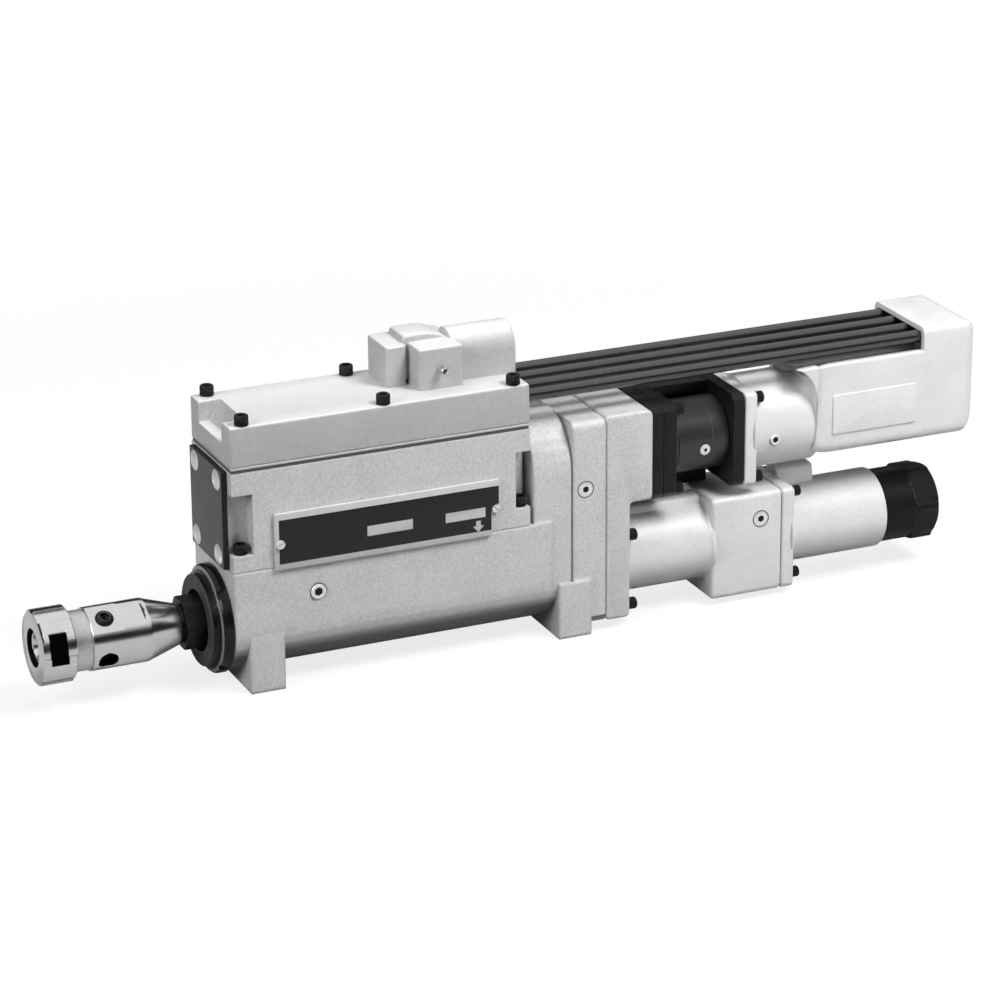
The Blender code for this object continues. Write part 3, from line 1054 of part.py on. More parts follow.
def rear_sleeve():
    """Flanged sleeve that holds the lead nut."""
    start = SCREW_BLOCK_END + SEAT_GAP
    sleeve = box("rear_sleeve", (start, -SLEEVE_HALF, SCREW_BLOCK_LOW), (start + SLEEVE_FLANGE, SLEEVE_HALF, SCREW_BLOCK_HIGH),
                 CASTING, radius=4 * MM, along="X")
    join(sleeve, rod("sleeve_tube", (start + 1 * MM, 0, SPINDLE_Z), (SLEEVE_END, 0, SPINDLE_Z), SLEEVE_R, tool=True,
                     steps=28))
    foot = SPINDLE_Z + SLEEVE_R * 0.75
    boss = [(SLEEVE_BOSS_Y - 8 * MM, foot), (SLEEVE_BOSS_Y + 8 * MM, foot),
            (SLEEVE_BOSS_Y + 7 * MM, SLEEVE_BOSS_TOP - 3 * MM), (SLEEVE_BOSS_Y + 3 * MM, SLEEVE_BOSS_TOP),
            (SLEEVE_BOSS_Y - 3 * MM, SLEEVE_BOSS_TOP), (SLEEVE_BOSS_Y - 7 * MM, SLEEVE_BOSS_TOP - 3 * MM)]
    join(sleeve, plate("sleeve_boss", [boss], "X", start + SLEEVE_FLANGE - 1 * MM,
                       start + SLEEVE_FLANGE + SLEEVE_BOSS_LENGTH, tool=True))
    cut(sleeve, rod("nut_seat", (LEAD_NUT_START - SEAT_GAP, 0, SPINDLE_Z), (SLEEVE_END + 1 * MM, 0, SPINDLE_Z),
                    LEAD_NUT_R + SEAT_GAP, tool=True))
    cut(sleeve, rod("sleeve_bore", (start - 1 * MM, 0, SPINDLE_Z), (LEAD_NUT_START + 1 * MM, 0, SPINDLE_Z),
                    SCREW_HOUSING_BORE_R, tool=True))
    for number, (y, z) in enumerate(bolt_places()):
        join(sleeve, rod("sleeve_screw_%d" % number, (start + SLEEVE_FLANGE - 1 * MM, y, z),
                         (start + SLEEVE_FLANGE + BLOCK_BOLT_HEAD, y, z), BLOCK_BOLT_R, tool=True, steps=12))
    return sleeve


def lead_nut_parts():
    """Lead nut and the black cap that clamps it in the sleeve."""
    ring_x("lead_nut", LEAD_NUT_START, LEAD_NUT_START + LEAD_NUT_LENGTH, LEAD_NUT_R, LEAD_SCREW_R + RUN_GAP, BRONZE)
    plug_start = LEAD_NUT_START + LEAD_NUT_LENGTH + SEAT_GAP
    face = SLEEVE_END + SEAT_GAP
    end = face + END_CAP_LENGTH
    bore = LEAD_SCREW_R + 2.5 * MM
    depth = LEAD_SCREW_END + 4 * MM
    profile = [(0.0, end), (END_CAP_R - 1 * MM, end), (END_CAP_R, end - 1 * MM), (END_CAP_R, face), (LEAD_NUT_R, face),
               (LEAD_NUT_R, plug_start), (bore, plug_start), (bore, depth), (0.0, depth)]
    cap = turned_x("lead_nut_cap", profile, BLACK, steps=28)
    hexagon = rod("cap_hex", (end - 1 * MM, 0, 0), (end + END_HEX_LENGTH, 0, 0), END_HEX_R, tool=True, steps=6)
    hexagon.data.transform(Matrix.Translation((0, 0, SPINDLE_Z)) @ Matrix.Rotation(END_HEX_TURN, 4, "X"))
    join(cap, hexagon)
    return cap


def spindle_shaft():
    """Spindle: shaft with shoulders for the feed collar, hexagon nose and splines."""
    grip = 3.0 * MM
    collar_end = COLLAR_START + COLLAR_LENGTH
    profile = [(0.0, SPLINE_START + 1 * MM), (SHAFT_R, SPLINE_START + 1 * MM), (SHAFT_R, collar_end + SEAT_GAP + grip),
               (SHAFT_R + 3 * MM, collar_end + SEAT_GAP + grip), (SHAFT_R + 3 * MM, collar_end + SEAT_GAP),
               (SHAFT_R, collar_end + SEAT_GAP), (SHAFT_R, COLLAR_START - SEAT_GAP),
               (SHAFT_R + 3 * MM, COLLAR_START - SEAT_GAP), (SHAFT_R + 3 * MM, COLLAR_START - SEAT_GAP - grip),
               (SHAFT_R, COLLAR_START - SEAT_GAP - grip), (SHAFT_R, NOSE_FRONT + 1 * MM),
               (NOSE_STUB_R, NOSE_FRONT + 1 * MM), (NOSE_STUB_R, CONE_END + SEAT_GAP),
               (SPINDLE_TAIL_R, CONE_END + SEAT_GAP), (SPINDLE_TAIL_R, SPINDLE_FRONT), (0.0, SPINDLE_FRONT)]
    shaft = turned_x("spindle_shaft", profile, BLACK, steps=24)
    join(shaft, rod("nose_hex", (NOSE_FRONT, 0, SPINDLE_Z), (NOSE_REAR, 0, SPINDLE_Z), NOSE_HEX_R, tool=True, steps=6))
    keys = shift_outline(spline_outline(SHAFT_R - 0.4 * MM, SPLINE_ROOT_R, SPLINE_HALF_ANGLE), 0, SPINDLE_Z)
    join(shaft, plate("spline_keys", [keys], "X", SPLINE_START - 1 * MM, SPLINE_END, tool=True))
    return shaft


def lead_screw():
    """Lead screw behind the splines, its thread left plain."""
    profile = [(0.0, LEAD_SCREW_END), (LEAD_SCREW_R - 1 * MM, LEAD_SCREW_END), (LEAD_SCREW_R, LEAD_SCREW_END - 1 * MM),
               (LEAD_SCREW_R, SPLINE_END + SEAT_GAP), (0.0, SPLINE_END + SEAT_GAP)]
    return turned_x("lead_screw", profile, STEEL, steps=24)


def feed_collar():
    """Collar that follows the spindle and keeps its yoke upright."""
    collar = ring_x("feed_collar", COLLAR_START, COLLAR_START + COLLAR_LENGTH, COLLAR_R, SHAFT_R + RUN_GAP, STEEL,
                    steps=28)
    middle = COLLAR_START + COLLAR_LENGTH / 2
    cut(collar, box("yoke_seat", (middle - YOKE_THICKNESS / 2 - SEAT_GAP, -YOKE_HALF_WIDTH - SEAT_GAP, YOKE_BASE - SEAT_GAP),
                    (middle + YOKE_THICKNESS / 2 + SEAT_GAP, YOKE_HALF_WIDTH + SEAT_GAP, YOKE_BASE + 20 * MM), tool=True))
    return collar


def trip_yoke():
    """Arm that rises from the collar into the control block, with a finger for the stroke dog."""
    middle = COLLAR_START + COLLAR_LENGTH / 2
    arm = box("trip_yoke", (middle - YOKE_THICKNESS / 2, -YOKE_HALF_WIDTH, YOKE_BASE),
              (middle + YOKE_THICKNESS / 2, YOKE_HALF_WIDTH, YOKE_TOP), STEEL, radius=2 * MM, along="Z")
    join(arm, rod("trip_finger", (middle - YOKE_THICKNESS / 2 - 5 * MM, 0, YOKE_TOP - 6 * MM),
                  (middle, 0, YOKE_TOP - 6 * MM), 3 * MM, tool=True, steps=10))
    return arm


def chuck_body():
    """Chuck body with a threaded neck, a milled flat, a cross hole and a cone to the spindle."""
    bore = COLLET_R + RUN_GAP
    seat_end = BODY_FRONT + 24 * MM
    profile = [(CONE_END_R, CONE_END), (BODY_R, CONE_START), (BODY_R, BODY_FRONT), (NECK_R, BODY_FRONT),
               (NECK_R, NECK_THREAD), (NECK_R - 2 * MM, NECK_THREAD), (NECK_R - 2 * MM, NECK_FRONT), (bore, NECK_FRONT),
               (bore, seat_end), (SPINDLE_TAIL_R + SEAT_GAP, seat_end), (SPINDLE_TAIL_R + SEAT_GAP, CONE_END)]
    body = turned_x("chuck_body", profile, BRIGHT, steps=28)
    tilt = Matrix.Rotation(SET_SCREW_TILT, 4, "X")
    flat_start = BODY_FRONT + 0.3 * MM
    flat_end = flat_start + BODY_FLAT_LENGTH
    for name, start, end, depth in (("chuck_flat", flat_start, flat_end, BODY_FLAT_DEPTH),
                                    ("chuck_step", flat_end - 1 * MM, flat_end + BODY_STEP_LENGTH, BODY_STEP_DEPTH)):
        flat = box(name, (start, -14 * MM, BODY_R - depth), (end, 14 * MM, BODY_R + 5 * MM), tool=True)
        flat.data.transform(tilt)
        flat.data.transform(Matrix.Translation((0, 0, SPINDLE_Z)))
        cut(body, flat)
    hole = rod("set_screw_hole", (SET_SCREW_X, 0, COLLET_R + 1.0 * MM), (SET_SCREW_X, 0, BODY_R + 5 * MM),
               SET_SCREW_R + SEAT_GAP, tool=True, steps=12)
    hole.data.transform(tilt)
    hole.data.transform(Matrix.Translation((0, 0, SPINDLE_Z)))
    cut(body, hole)
    cross_x = SET_SCREW_X - 1.2 * MM
    cross = rod("cross_hole", (cross_x, 0, COLLET_R + 3 * MM), (cross_x, 0, BODY_R + 5 * MM), SET_SCREW_R, tool=True,
                steps=12)
    cross.data.transform(Matrix.Rotation(SET_SCREW_TILT + pi / 2, 4, "X"))
    cross.data.transform(Matrix.Translation((0, 0, SPINDLE_Z)))
    cut(body, cross)
    return body


def chuck_set_screw():
    """Socket set screw that stands out of the milled flat."""
    screw = rod("chuck_set_screw", (SET_SCREW_X, 0, COLLET_R + 1.3 * MM), (SET_SCREW_X, 0, BODY_R - 0.4 * MM), SET_SCREW_R,
                BRIGHT, steps=12)
    screw.data.transform(Matrix.Rotation(SET_SCREW_TILT, 4, "X"))
    screw.data.transform(Matrix.Translation((0, 0, SPINDLE_Z)))
    socket = rod("set_screw_socket", (SET_SCREW_X, 0, BODY_R - 4 * MM), (SET_SCREW_X, 0, BODY_R + 1 * MM), 3.0 * MM,
                 tool=True, steps=6)
    socket.data.transform(Matrix.Rotation(SET_SCREW_TILT, 4, "X"))
    socket.data.transform(Matrix.Translation((0, 0, SPINDLE_Z)))
    return cut(screw, socket)


def tap_collet():
    """Split collet with the hole for the tap."""
    front = NUT_FRONT + 2.2 * MM
    back = BODY_FRONT + 20 * MM
    profile = [(COLLET_R, back), (COLLET_R, front + 6 * MM), (COLLET_R - 2.4 * MM, front), (TAP_R, front), (TAP_R, back)]
    collet = turned_x("tap_collet", profile, STEEL, steps=24)
    for number in range(3):
        slit = box("collet_slit_%d" % number, (front - 1 * MM, -0.5 * MM, 0), (back - 8 * MM, 0.5 * MM, COLLET_R + 2 * MM),
                   tool=True)
        slit.data.transform(Matrix.Rotation(2 * pi * number / 3, 4, "X"))
        slit.data.transform(Matrix.Translation((0, 0, SPINDLE_Z)))
        cut(collet, slit)
    return collet


def chuck_nut():
    """Collet nut with grooves along its rim and two spanner flats."""
    front = NUT_FRONT
    back = NUT_FRONT + NUT_LENGTH
    inner = NECK_R - 2 * MM + RUN_GAP
    floor = NECK_FRONT - 0.8 * MM
    profile = [(NUT_R - 1 * MM, back), (NUT_R, back - 1 * MM), (NUT_R, front + 1.2 * MM), (NUT_R - 1.2 * MM, front),
               (NUT_MOUTH_R - 2 * MM, front), (COLLET_R + RUN_GAP, front + 7 * MM), (COLLET_R + RUN_GAP, floor),
               (inner, floor), (inner, back)]
    nut = turned_x("chuck_nut", profile, BRIGHT, steps=28)
    for number in range(NUT_SLOTS):
        slot = box("nut_slot_%d" % number, (front - 1 * MM, -NUT_SLOT_HALF, NUT_R - NUT_SLOT_DEPTH),
                   (back + 1 * MM, NUT_SLOT_HALF, NUT_R + 3 * MM), tool=True)
        slot.data.transform(Matrix.Rotation(NUT_SLOT_TURN + 2 * pi * number / NUT_SLOTS, 4, "X"))
        slot.data.transform(Matrix.Translation((0, 0, SPINDLE_Z)))
        cut(nut, slot)
    for side in (1, 4):
        flat = box("nut_flat_%d" % side, (NUT_FLAT_START, -NUT_R, NUT_FLAT_HEIGHT),
                   (NUT_FLAT_START + NUT_FLAT_LENGTH, NUT_R, NUT_R + 3 * MM), tool=True)
        flat.data.transform(Matrix.Rotation(NUT_SLOT_TURN + 2 * pi * side / NUT_SLOTS, 4, "X"))
        flat.data.transform(Matrix.Translation((0, 0, SPINDLE_Z)))
        cut(nut, flat)
    return nut


def stroke_cover():
    """Name plate that swings up about its left screw, over the stroke window."""
    notch_z = PIVOT_Z + SMALL_HEAD_R + RUN_GAP
    notch_x = LATCH_X - SMALL_HEAD_R - RUN_GAP
    outline = [(COVER_LEFT, COVER_LOW), (COVER_RIGHT - 5.6 * MM, COVER_LOW), (COVER_RIGHT - 5.6 * MM, PIVOT_Z - 2.4 * MM),
               (notch_x, notch_z), (COVER_RIGHT, notch_z), (COVER_RIGHT, COVER_HIGH), (COVER_LEFT, COVER_HIGH)]
    face = -HALF_WIDTH - SEAT_GAP
    hole = circle(SMALL_SCREW_R + RUN_GAP, 12, PIVOT_X, PIVOT_Z)
    return plate("stroke_cover", [outline, hole], "Y", face - COVER_THICKNESS, face, BLACK)


def small_screw(name, x, seat):
    """Slotted screw in the near side of the block."""
    profile = [(0.0, SMALL_HEAD_HEIGHT), (SMALL_HEAD_R * 0.8, SMALL_HEAD_HEIGHT), (SMALL_HEAD_R, SMALL_HEAD_HEIGHT * 0.5),
               (SMALL_HEAD_R, 0.0), (SMALL_SCREW_R, 0.0), (SMALL_SCREW_R, -seat + HALF_WIDTH - 7.5 * MM),
               (0.0, -seat + HALF_WIDTH - 7.5 * MM)]
    screw = turned(name, profile, (x, -seat, PIVOT_Z), BRIGHT, steps=10, turn=(pi / 2, 0.0, 0.0))
    top = -seat - SMALL_HEAD_HEIGHT
    slot = box(name + "_slot", (x - 4 * MM, top - 1 * MM, PIVOT_Z - 0.4 * MM), (x + 4 * MM, top + 0.8 * MM, PIVOT_Z + 0.4 * MM),
               tool=True)
    return cut(screw, slot)


def stroke_parts():
    """Rod behind the cover and the dog that sets the stroke."""
    start = CAVITY_END_WALL - STROKE_ROD_SEAT + SEAT_GAP
    rod("stroke_rod", (start, STROKE_ROD_Y, STROKE_ROD_Z), (BLOCK_LENGTH - start, STROKE_ROD_Y, STROKE_ROD_Z),
        STROKE_ROD_R, BRIGHT, steps=12)
    dog = box("stroke_dog", (DOG_START, STROKE_ROD_Y - 5 * MM, STROKE_ROD_Z - 7 * MM),
              (DOG_START + DOG_LENGTH, STROKE_ROD_Y + 8 * MM, STROKE_ROD_Z + 9 * MM), STEEL, radius=1.2 * MM, along="X",
              segments=1)
    cut(dog, rod("dog_hole", (DOG_START - 1 * MM, STROKE_ROD_Y, STROKE_ROD_Z),
                 (DOG_START + DOG_LENGTH + 1 * MM, STROKE_ROD_Y, STROKE_ROD_Z), STROKE_ROD_R + RUN_GAP, tool=True, steps=12))
    return dog


def valve_spool():
    """Spool of the feed valve, with its grooves."""
    start = VALVE_SPOOL_START
    profile = [(0.0, start + SPOOL_LENGTH), (SPOOL_R, start + SPOOL_LENGTH)]
    for number in range(2, 0, -1):
        groove = start + SPOOL_LENGTH * number / 3
        profile += [(SPOOL_R, groove + 6 * MM), (SPOOL_R - 2 * MM, groove + 6 * MM), (SPOOL_R - 2 * MM, groove - 6 * MM),
                    (SPOOL_R, groove - 6 * MM)]
    profile += [(SPOOL_R, start), (0.0, start)]
    return turned_x("valve_spool", profile, BRIGHT, z=SPOOL_Z, steps=12)


def build():
    """Make every piece and hang the moving ones on their axes."""
    lower_housing()
    control_block()
    lid_gasket()
    lid()
    air_fitting()
    screws()
    front_plate()
    front_ring()
    bushings()
    gear_cover()
    idler_pin()
    gear_box()
    motor_housing()
    motor_parts()
    air_tubes()
    lead_screw_housing()
    rear_sleeve()
    lead_nut_parts()
    side_plug("side_plug", SIDE_PLUG_X, SIDE_PLUG_Z, -HALF_WIDTH, SIDE_PLUG_R)
    side_plug("motor_plug", MOTOR_PLUG_X, MOTOR_PLUG_Z, MOTOR_PLUG_WALL, MOTOR_PLUG_R)
    small_screw("cover_pivot_screw", PIVOT_X, HALF_WIDTH + 2 * SEAT_GAP + COVER_THICKNESS)
    small_screw("cover_latch_screw", LATCH_X, HALF_WIDTH + SEAT_GAP)
    dog = stroke_parts()
    axis_empty("spindle_axis", (0, 0, SPINDLE_Z), [spindle_shaft(), lead_screw(), chuck_body(), chuck_set_screw()])
    axis_empty("feed_axis", (COLLAR_START, 0, SPINDLE_Z), [feed_collar(), trip_yoke()])
    axis_empty("collet_axis", (NUT_FRONT, 0, SPINDLE_Z), [tap_collet()])
    axis_empty("chuck_nut_axis", (NUT_FRONT, 0, SPINDLE_Z), [chuck_nut()])
    axis_empty("drive_gear_axis", (GEAR_START, 0, SPINDLE_Z), [drive_gear()])
    axis_empty("idler_axis", (GEAR_START, 0, IDLER_Z), [idler_gear()])
    axis_empty("carrier_axis", (GEAR_START, 0, MOTOR_Z), [output_pinion(), planet_carrier()])
    axis_empty("rotor_axis", (PLANET_START, 0, MOTOR_Z), [rotor()])
    for number, (planet, angle) in enumerate(zip(planet_gears(), PLANET_ANGLES)):
        centre = (PLANET_START, PLANET_ORBIT * cos(angle), MOTOR_Z + PLANET_ORBIT * sin(angle))
        axis_empty("planet_axis_%d" % (number + 1), centre, [planet])
    axis_empty("cover_hinge", (PIVOT_X, -HALF_WIDTH, PIVOT_Z), [stroke_cover()])
    axis_empty("dog_axis", (DOG_START, STROKE_ROD_Y, STROKE_ROD_Z), [dog])
    axis_empty("spool_axis", (VALVE_SPOOL_START, 0, SPOOL_Z), [valve_spool()])


build()
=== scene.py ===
"""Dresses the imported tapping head: finished surfaces, procedural finishes, floor, lamps and camera.

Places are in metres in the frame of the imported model: +X runs to the rear along the spindle, +Y to
the far side and +Z up from the feet. The ends of the new pieces are mostly read from the boxes of the
nodes that they stand for, so a piece goes where the model says; their smaller sizes are given here.
"""
import logging
import math
from collections.abc import Callable, Mapping, Sequence
from dataclasses import dataclass, replace
from enum import Enum

import bpy
import bmesh
import numpy as np
from mathutils import Matrix, Vector


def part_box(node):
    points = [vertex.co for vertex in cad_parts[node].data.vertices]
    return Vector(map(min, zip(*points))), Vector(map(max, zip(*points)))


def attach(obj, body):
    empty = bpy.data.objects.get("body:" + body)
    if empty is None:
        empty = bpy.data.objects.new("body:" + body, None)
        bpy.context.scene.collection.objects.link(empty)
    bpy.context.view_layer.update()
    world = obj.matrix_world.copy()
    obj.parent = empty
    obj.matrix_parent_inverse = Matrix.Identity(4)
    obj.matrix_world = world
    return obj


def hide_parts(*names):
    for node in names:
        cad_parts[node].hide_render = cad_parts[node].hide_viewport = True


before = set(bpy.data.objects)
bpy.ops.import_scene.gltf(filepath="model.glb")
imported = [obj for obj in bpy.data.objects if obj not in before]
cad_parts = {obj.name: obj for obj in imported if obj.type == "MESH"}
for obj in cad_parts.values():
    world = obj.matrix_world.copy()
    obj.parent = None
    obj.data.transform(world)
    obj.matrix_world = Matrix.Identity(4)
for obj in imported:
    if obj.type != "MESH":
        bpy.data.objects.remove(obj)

LOG = logging.getLogger("tapping_head")
MM = 0.001
Array = np.ndarray


def mm(*values: float) -> tuple[float, ...]:
    """Lengths in metres, from millimetres."""
    return tuple(value * MM for value in values)


def scaled(colour: Sequence[float], factor: float) -> tuple[float, ...]:
    """Colour made darker or lighter, with no part over 1."""
    return tuple(min(1.0, value * factor) for value in colour)


def numbered(stem: str, count: int) -> list[str]:
    """Names from stem_1 to stem_count."""
    return [f"{stem}_{number}" for number in range(1, count + 1)]


# ---------------------------------------------------------------------------------- shader maths

class Shade:
    """One output socket of a material's nodes, with arithmetic as Python operators."""

    def __init__(self, graph: "Graph", socket: bpy.types.NodeSocket) -> None:
        """Keeps the socket and the graph that it belongs to."""
        self.graph = graph
        self.socket = socket

    def _math(self, operation: str, other: "Shade | float", swapped: bool = False) -> "Shade":
        """Adds one Math node.

        Args:
            operation: name of the Math operation.
            other: the second value, a socket or a number.
            swapped: True puts the other value first.

        Returns:
            The value of the new node.
        """
        pair = (other, self) if swapped else (self, other)
        return self.graph.node("ShaderNodeMath", {"operation": operation}, dict(enumerate(pair)))

    def __add__(self, other: "Shade | float") -> "Shade":
        """Sum."""
        return self._math("ADD", other)

    __radd__ = __add__

    def __sub__(self, other: "Shade | float") -> "Shade":
        """Difference."""
        return self._math("SUBTRACT", other)

    def __rsub__(self, other: float) -> "Shade":
        """Difference from a number."""
        return self._math("SUBTRACT", other, swapped=True)

    def __mul__(self, other: "Shade | float") -> "Shade":
        """Product."""
        return self._math("MULTIPLY", other)

    __rmul__ = __mul__

    def __pow__(self, other: float) -> "Shade":
        """Power."""
        return self._math("POWER", other)

    def __gt__(self, other: "Shade | float") -> "Shade":
        """One where this is greater."""
        return self._math("GREATER_THAN", other)

    def __lt__(self, other: "Shade | float") -> "Shade":
        """One where this is less."""
        return self._math("LESS_THAN", other)

    def __abs__(self) -> "Shade":
        """Size without sign."""
        return self._math("ABSOLUTE", 0.0)

    def least(self, other: "Shade | float") -> "Shade":
        """The lesser of two."""
        return self._math("MINIMUM", other)

    def most(self, other: "Shade | float") -> "Shade":
        """The greater of two."""
        return self._math("MAXIMUM", other)

    def between(self, low: float, high: float) -> "Shade":
        """One where this lies between two numbers."""
        return (self > low) * (self < high)

    def rise(self, low: float, high: float) -> "Shade":
        """Zero below low, one above high, and a smooth rise between."""
        return self.graph.node("ShaderNodeMapRange", {"interpolation_type": "SMOOTHSTEP"},
                               {"Value": self, "From Min": low, "From Max": high})


class Graph:
    """The nodes of one material."""

    def __init__(self, name: str) -> None:
        """Starts a material that has only its output node."""
        self.material = bpy.data.materials.new(name)
        self.material.use_nodes = True
        self.tree = self.material.node_tree
        self.tree.nodes.clear()
        self.output = self.tree.nodes.new("ShaderNodeOutputMaterial")

    def node(self, kind: str, settings: Mapping | None = None, inputs: Mapping | None = None,
             output: int | str = 0) -> Shade:
        """Adds a node of any kind.

        Args:
            kind: the node's type.
            settings: its own settings.
            inputs: values or sockets of its inputs, by name or number.
            output: which output is returned.

        Returns:
            The chosen output.
        """
        made = self.tree.nodes.new(kind)
        for key, value in (settings or {}).items():
            setattr(made, key, value)
        for key, value in (inputs or {}).items():
            if isinstance(value, Shade):
                self.tree.links.new(value.socket, made.inputs[key])
            else:
                made.inputs[key].default_value = value
        return Shade(self, made.outputs[output])

    def place(self) -> Shade:
        """The point's place in the frame of the model."""
        return self.node("ShaderNodeTexCoord", output="Object")

    def axes(self) -> tuple[Shade, Shade, Shade]:
        """X, Y and Z of the point."""
        place = self.place()
        split = self.node("ShaderNodeSeparateXYZ", inputs={0: place})
        outputs = split.socket.node.outputs
        return tuple(Shade(self, outputs[axis]) for axis in range(3))

    def facing(self) -> tuple[Shade, Shade, Shade]:
        """X, Y and Z of the surface's own normal."""
        normal = self.node("ShaderNodeNewGeometry", output="Normal")
        outputs = self.node("ShaderNodeSeparateXYZ", inputs={0: normal}).socket.node.outputs
        return tuple(Shade(self, outputs[axis]) for axis in range(3))

    def stretched(self, scale: Sequence[float]) -> Shade:
        """The point's place times a scale for each axis."""
        return self.node("ShaderNodeVectorMath", {"operation": "MULTIPLY"},
                         {0: self.place(), 1: tuple(scale)})

    def noise(self, scale: float, detail: float = 3.0, stretch: Sequence[float] = (1, 1, 1),
              rough: float = 0.55) -> Shade:
        """Noise of a size set by scale, finer along an axis with a larger stretch."""
        return self.node("ShaderNodeTexNoise", {}, {"Vector": self.stretched(stretch), "Scale": scale,
                                                    "Detail": detail, "Roughness": rough}, "Fac")

    def mix(self, factor: "Shade | float", first: Sequence[float] | Shade,
            second: Sequence[float] | Shade) -> Shade:
        """Mixes two colours."""
        def rgba(value: Sequence[float] | Shade) -> Shade | tuple:
            """A colour with its fourth number."""
            return value if isinstance(value, Shade) else (*value[:3], 1.0)
        return self.node("ShaderNodeMix", {"data_type": "RGBA"},
                         {0: factor, 6: rgba(first), 7: rgba(second)}, 2)

    def worn_edges(self, radius: float) -> tuple[Shade, Shade]:
        """Rounded shading of the edges.

        Args:
            radius: radius of the rounding in metres.

        Returns:
            The rounded normal, and a mask that is one on edges and zero on flats.
        """
        rounded = self.node("ShaderNodeBevel", {"samples": 4}, {"Radius": radius})
        true = self.node("ShaderNodeNewGeometry", output="Normal")
        same = self.node("ShaderNodeVectorMath", {"operation": "DOT_PRODUCT"}, {0: rounded, 1: true}, "Value")
        return rounded, (1.0 - same).rise(0.012, 0.16)

    def bump(self, height: Shade, strength: float, distance: float, normal: Shade | None = None) -> Shade:
        """A bumped normal.

        Args:
            height: the height that is felt as bumps.
            strength: share of the bump, 0 to 1.
            distance: height of a full bump in metres.
            normal: the normal that it starts from.

        Returns:
            The new normal.
        """
        inputs = {"Height": height, "Strength": strength, "Distance": distance}
        if normal is not None:
            inputs["Normal"] = normal
        return self.node("ShaderNodeBump", {}, inputs)

    def surface(self, inputs: Mapping) -> bpy.types.Material:
        """Joins a Principled shader to the output.

        Args:
            inputs: values or sockets of the Principled shader's inputs, by name.

        Returns:
            The finished material.
        """
        shader = self.node("ShaderNodeBsdfPrincipled", {}, inputs)
        self.tree.links.new(shader.socket, self.output.inputs["Surface"])
        return self.material


# -------------------------------------------------------------------------------------- finishes

@dataclass(frozen=True)
class CastAluminium:
    """Tumbled aluminium casting: satin, with a fine grain, faint clouds and rubbed edges.

    The crown paints the faces that look up lighter, painted light from above; the underside term paints the curve
    under the housing darker, painted shade; and the third term darkens a region, with a faint mottle, as painted
    shade in a hollow, given by half its y, its two z and its last x.
    """

    grey: tuple[float, float, float] = (0.60, 0.60, 0.59)
    grain: float = 0.50
    cloud: float = 0.16
    roughness: float = 0.46
    metallic: float = 0.25
    edge: float = 0.9 * MM
    relief: float = 0.25
    wear: float = 0.22
    # crown: painted light, how much lighter the faces that look up are made
    crown: float = 0.0
    # painted shade on the curve under the housing, for faces that look down
    belly: float = 0.0
    # a region painted darker as shade in a hollow, given by half its y, its two z and its last x
    stain: tuple[float, float, float, float] | None = None

    def paint(self, name: str) -> bpy.types.Material:
        """Builds the material for one piece."""
        graph = Graph(name)
        normal, edges = graph.worn_edges(self.edge)
        fine = graph.noise(620.0, 3.0, rough=0.7)
        clouds = graph.noise(38.0, 4.0)
        streaks = graph.noise(170.0, 3.0, (0.18, 1.0, 1.0))
        tone = (fine - 0.5) * self.grain * 2.2 + (clouds - 0.5) * self.cloud * 2.0 + (streaks - 0.5) * 0.08
        _, _, up = graph.facing()
        # The crown term is painted light: faces that look up are made lighter.
        level = (tone + 0.5 + edges * self.wear + up.rise(0.55, 0.9) * self.crown).least(1.0).most(0.0)
        colour = graph.mix(level, scaled(self.grey, 0.62), scaled(self.grey, 1.38))
        # Painted shade: faces that look down are darkened from z 33 mm downward, a little less at the very bottom.
        if self.belly:
            depth = graph.axes()[2] * -1.0
            shade = (up < -0.05) * (depth.rise(-33.0 * MM, -22.0 * MM) - depth.rise(-11.0 * MM, -9.0 * MM) * 0.4)
            colour = graph.mix(shade * self.belly, colour, scaled(self.grey, 0.10))
        # Painted shade: a region in a hollow is darkened, with a faint mottle.
        if self.stain:
            x, y, z = graph.axes()
            half, low, high, end = self.stain
            deck_shade = (abs(y) < half) * z.between(low, high) * (x < end) * (clouds * 0.3 + 0.8).least(1.0)
            colour = graph.mix(deck_shade, colour, scaled(self.grey, 0.17))
        pits = graph.noise(620.0, 3.0)
        height = fine * 0.5 + pits * 0.5
        rough = (fine - 0.5) * 0.22 + (clouds - 0.5) * 0.18 + (self.roughness - edges * 0.10)
        return graph.surface({"Base Color": colour, "Roughness": rough, "Metallic": self.metallic,
                              "Normal": graph.bump(height, self.relief, 0.12 * MM, normal)})


@dataclass(frozen=True)
class TurnedSteel:
    """Steel off the lathe: fine rings round the X axis, bright, a little uneven."""

    grey: tuple[float, float, float] = (0.70, 0.70, 0.69)
    roughness: float = 0.20
    rings: float = 0.35
    metallic: float = 1.0
    edge: float = 0.35 * MM

    def paint(self, name: str) -> bpy.types.Material:
        """Builds the material for one piece."""
        graph = Graph(name)
        normal, edges = graph.worn_edges(self.edge)
        rings = graph.noise(2600.0, 3.0, (1.0, 0.004, 0.004))
        wide = graph.noise(420.0, 2.0, (1.0, 0.02, 0.02))
        smears = graph.noise(70.0, 4.0)
        tone = (rings - 0.5) * 0.25 + (smears - 0.5) * 0.30 + 0.5
        colour = graph.mix((tone + edges * 0.3).least(1.0), scaled(self.grey, 0.82), scaled(self.grey, 1.16))
        rough = (rings - 0.5) * 0.14 + (smears - 0.5) * 0.16 + self.roughness
        return graph.surface({"Base Color": colour, "Roughness": rough, "Metallic": self.metallic,
                              "Normal": graph.bump(rings * 0.6 + wide * 0.4, self.rings, 0.012 * MM, normal)})


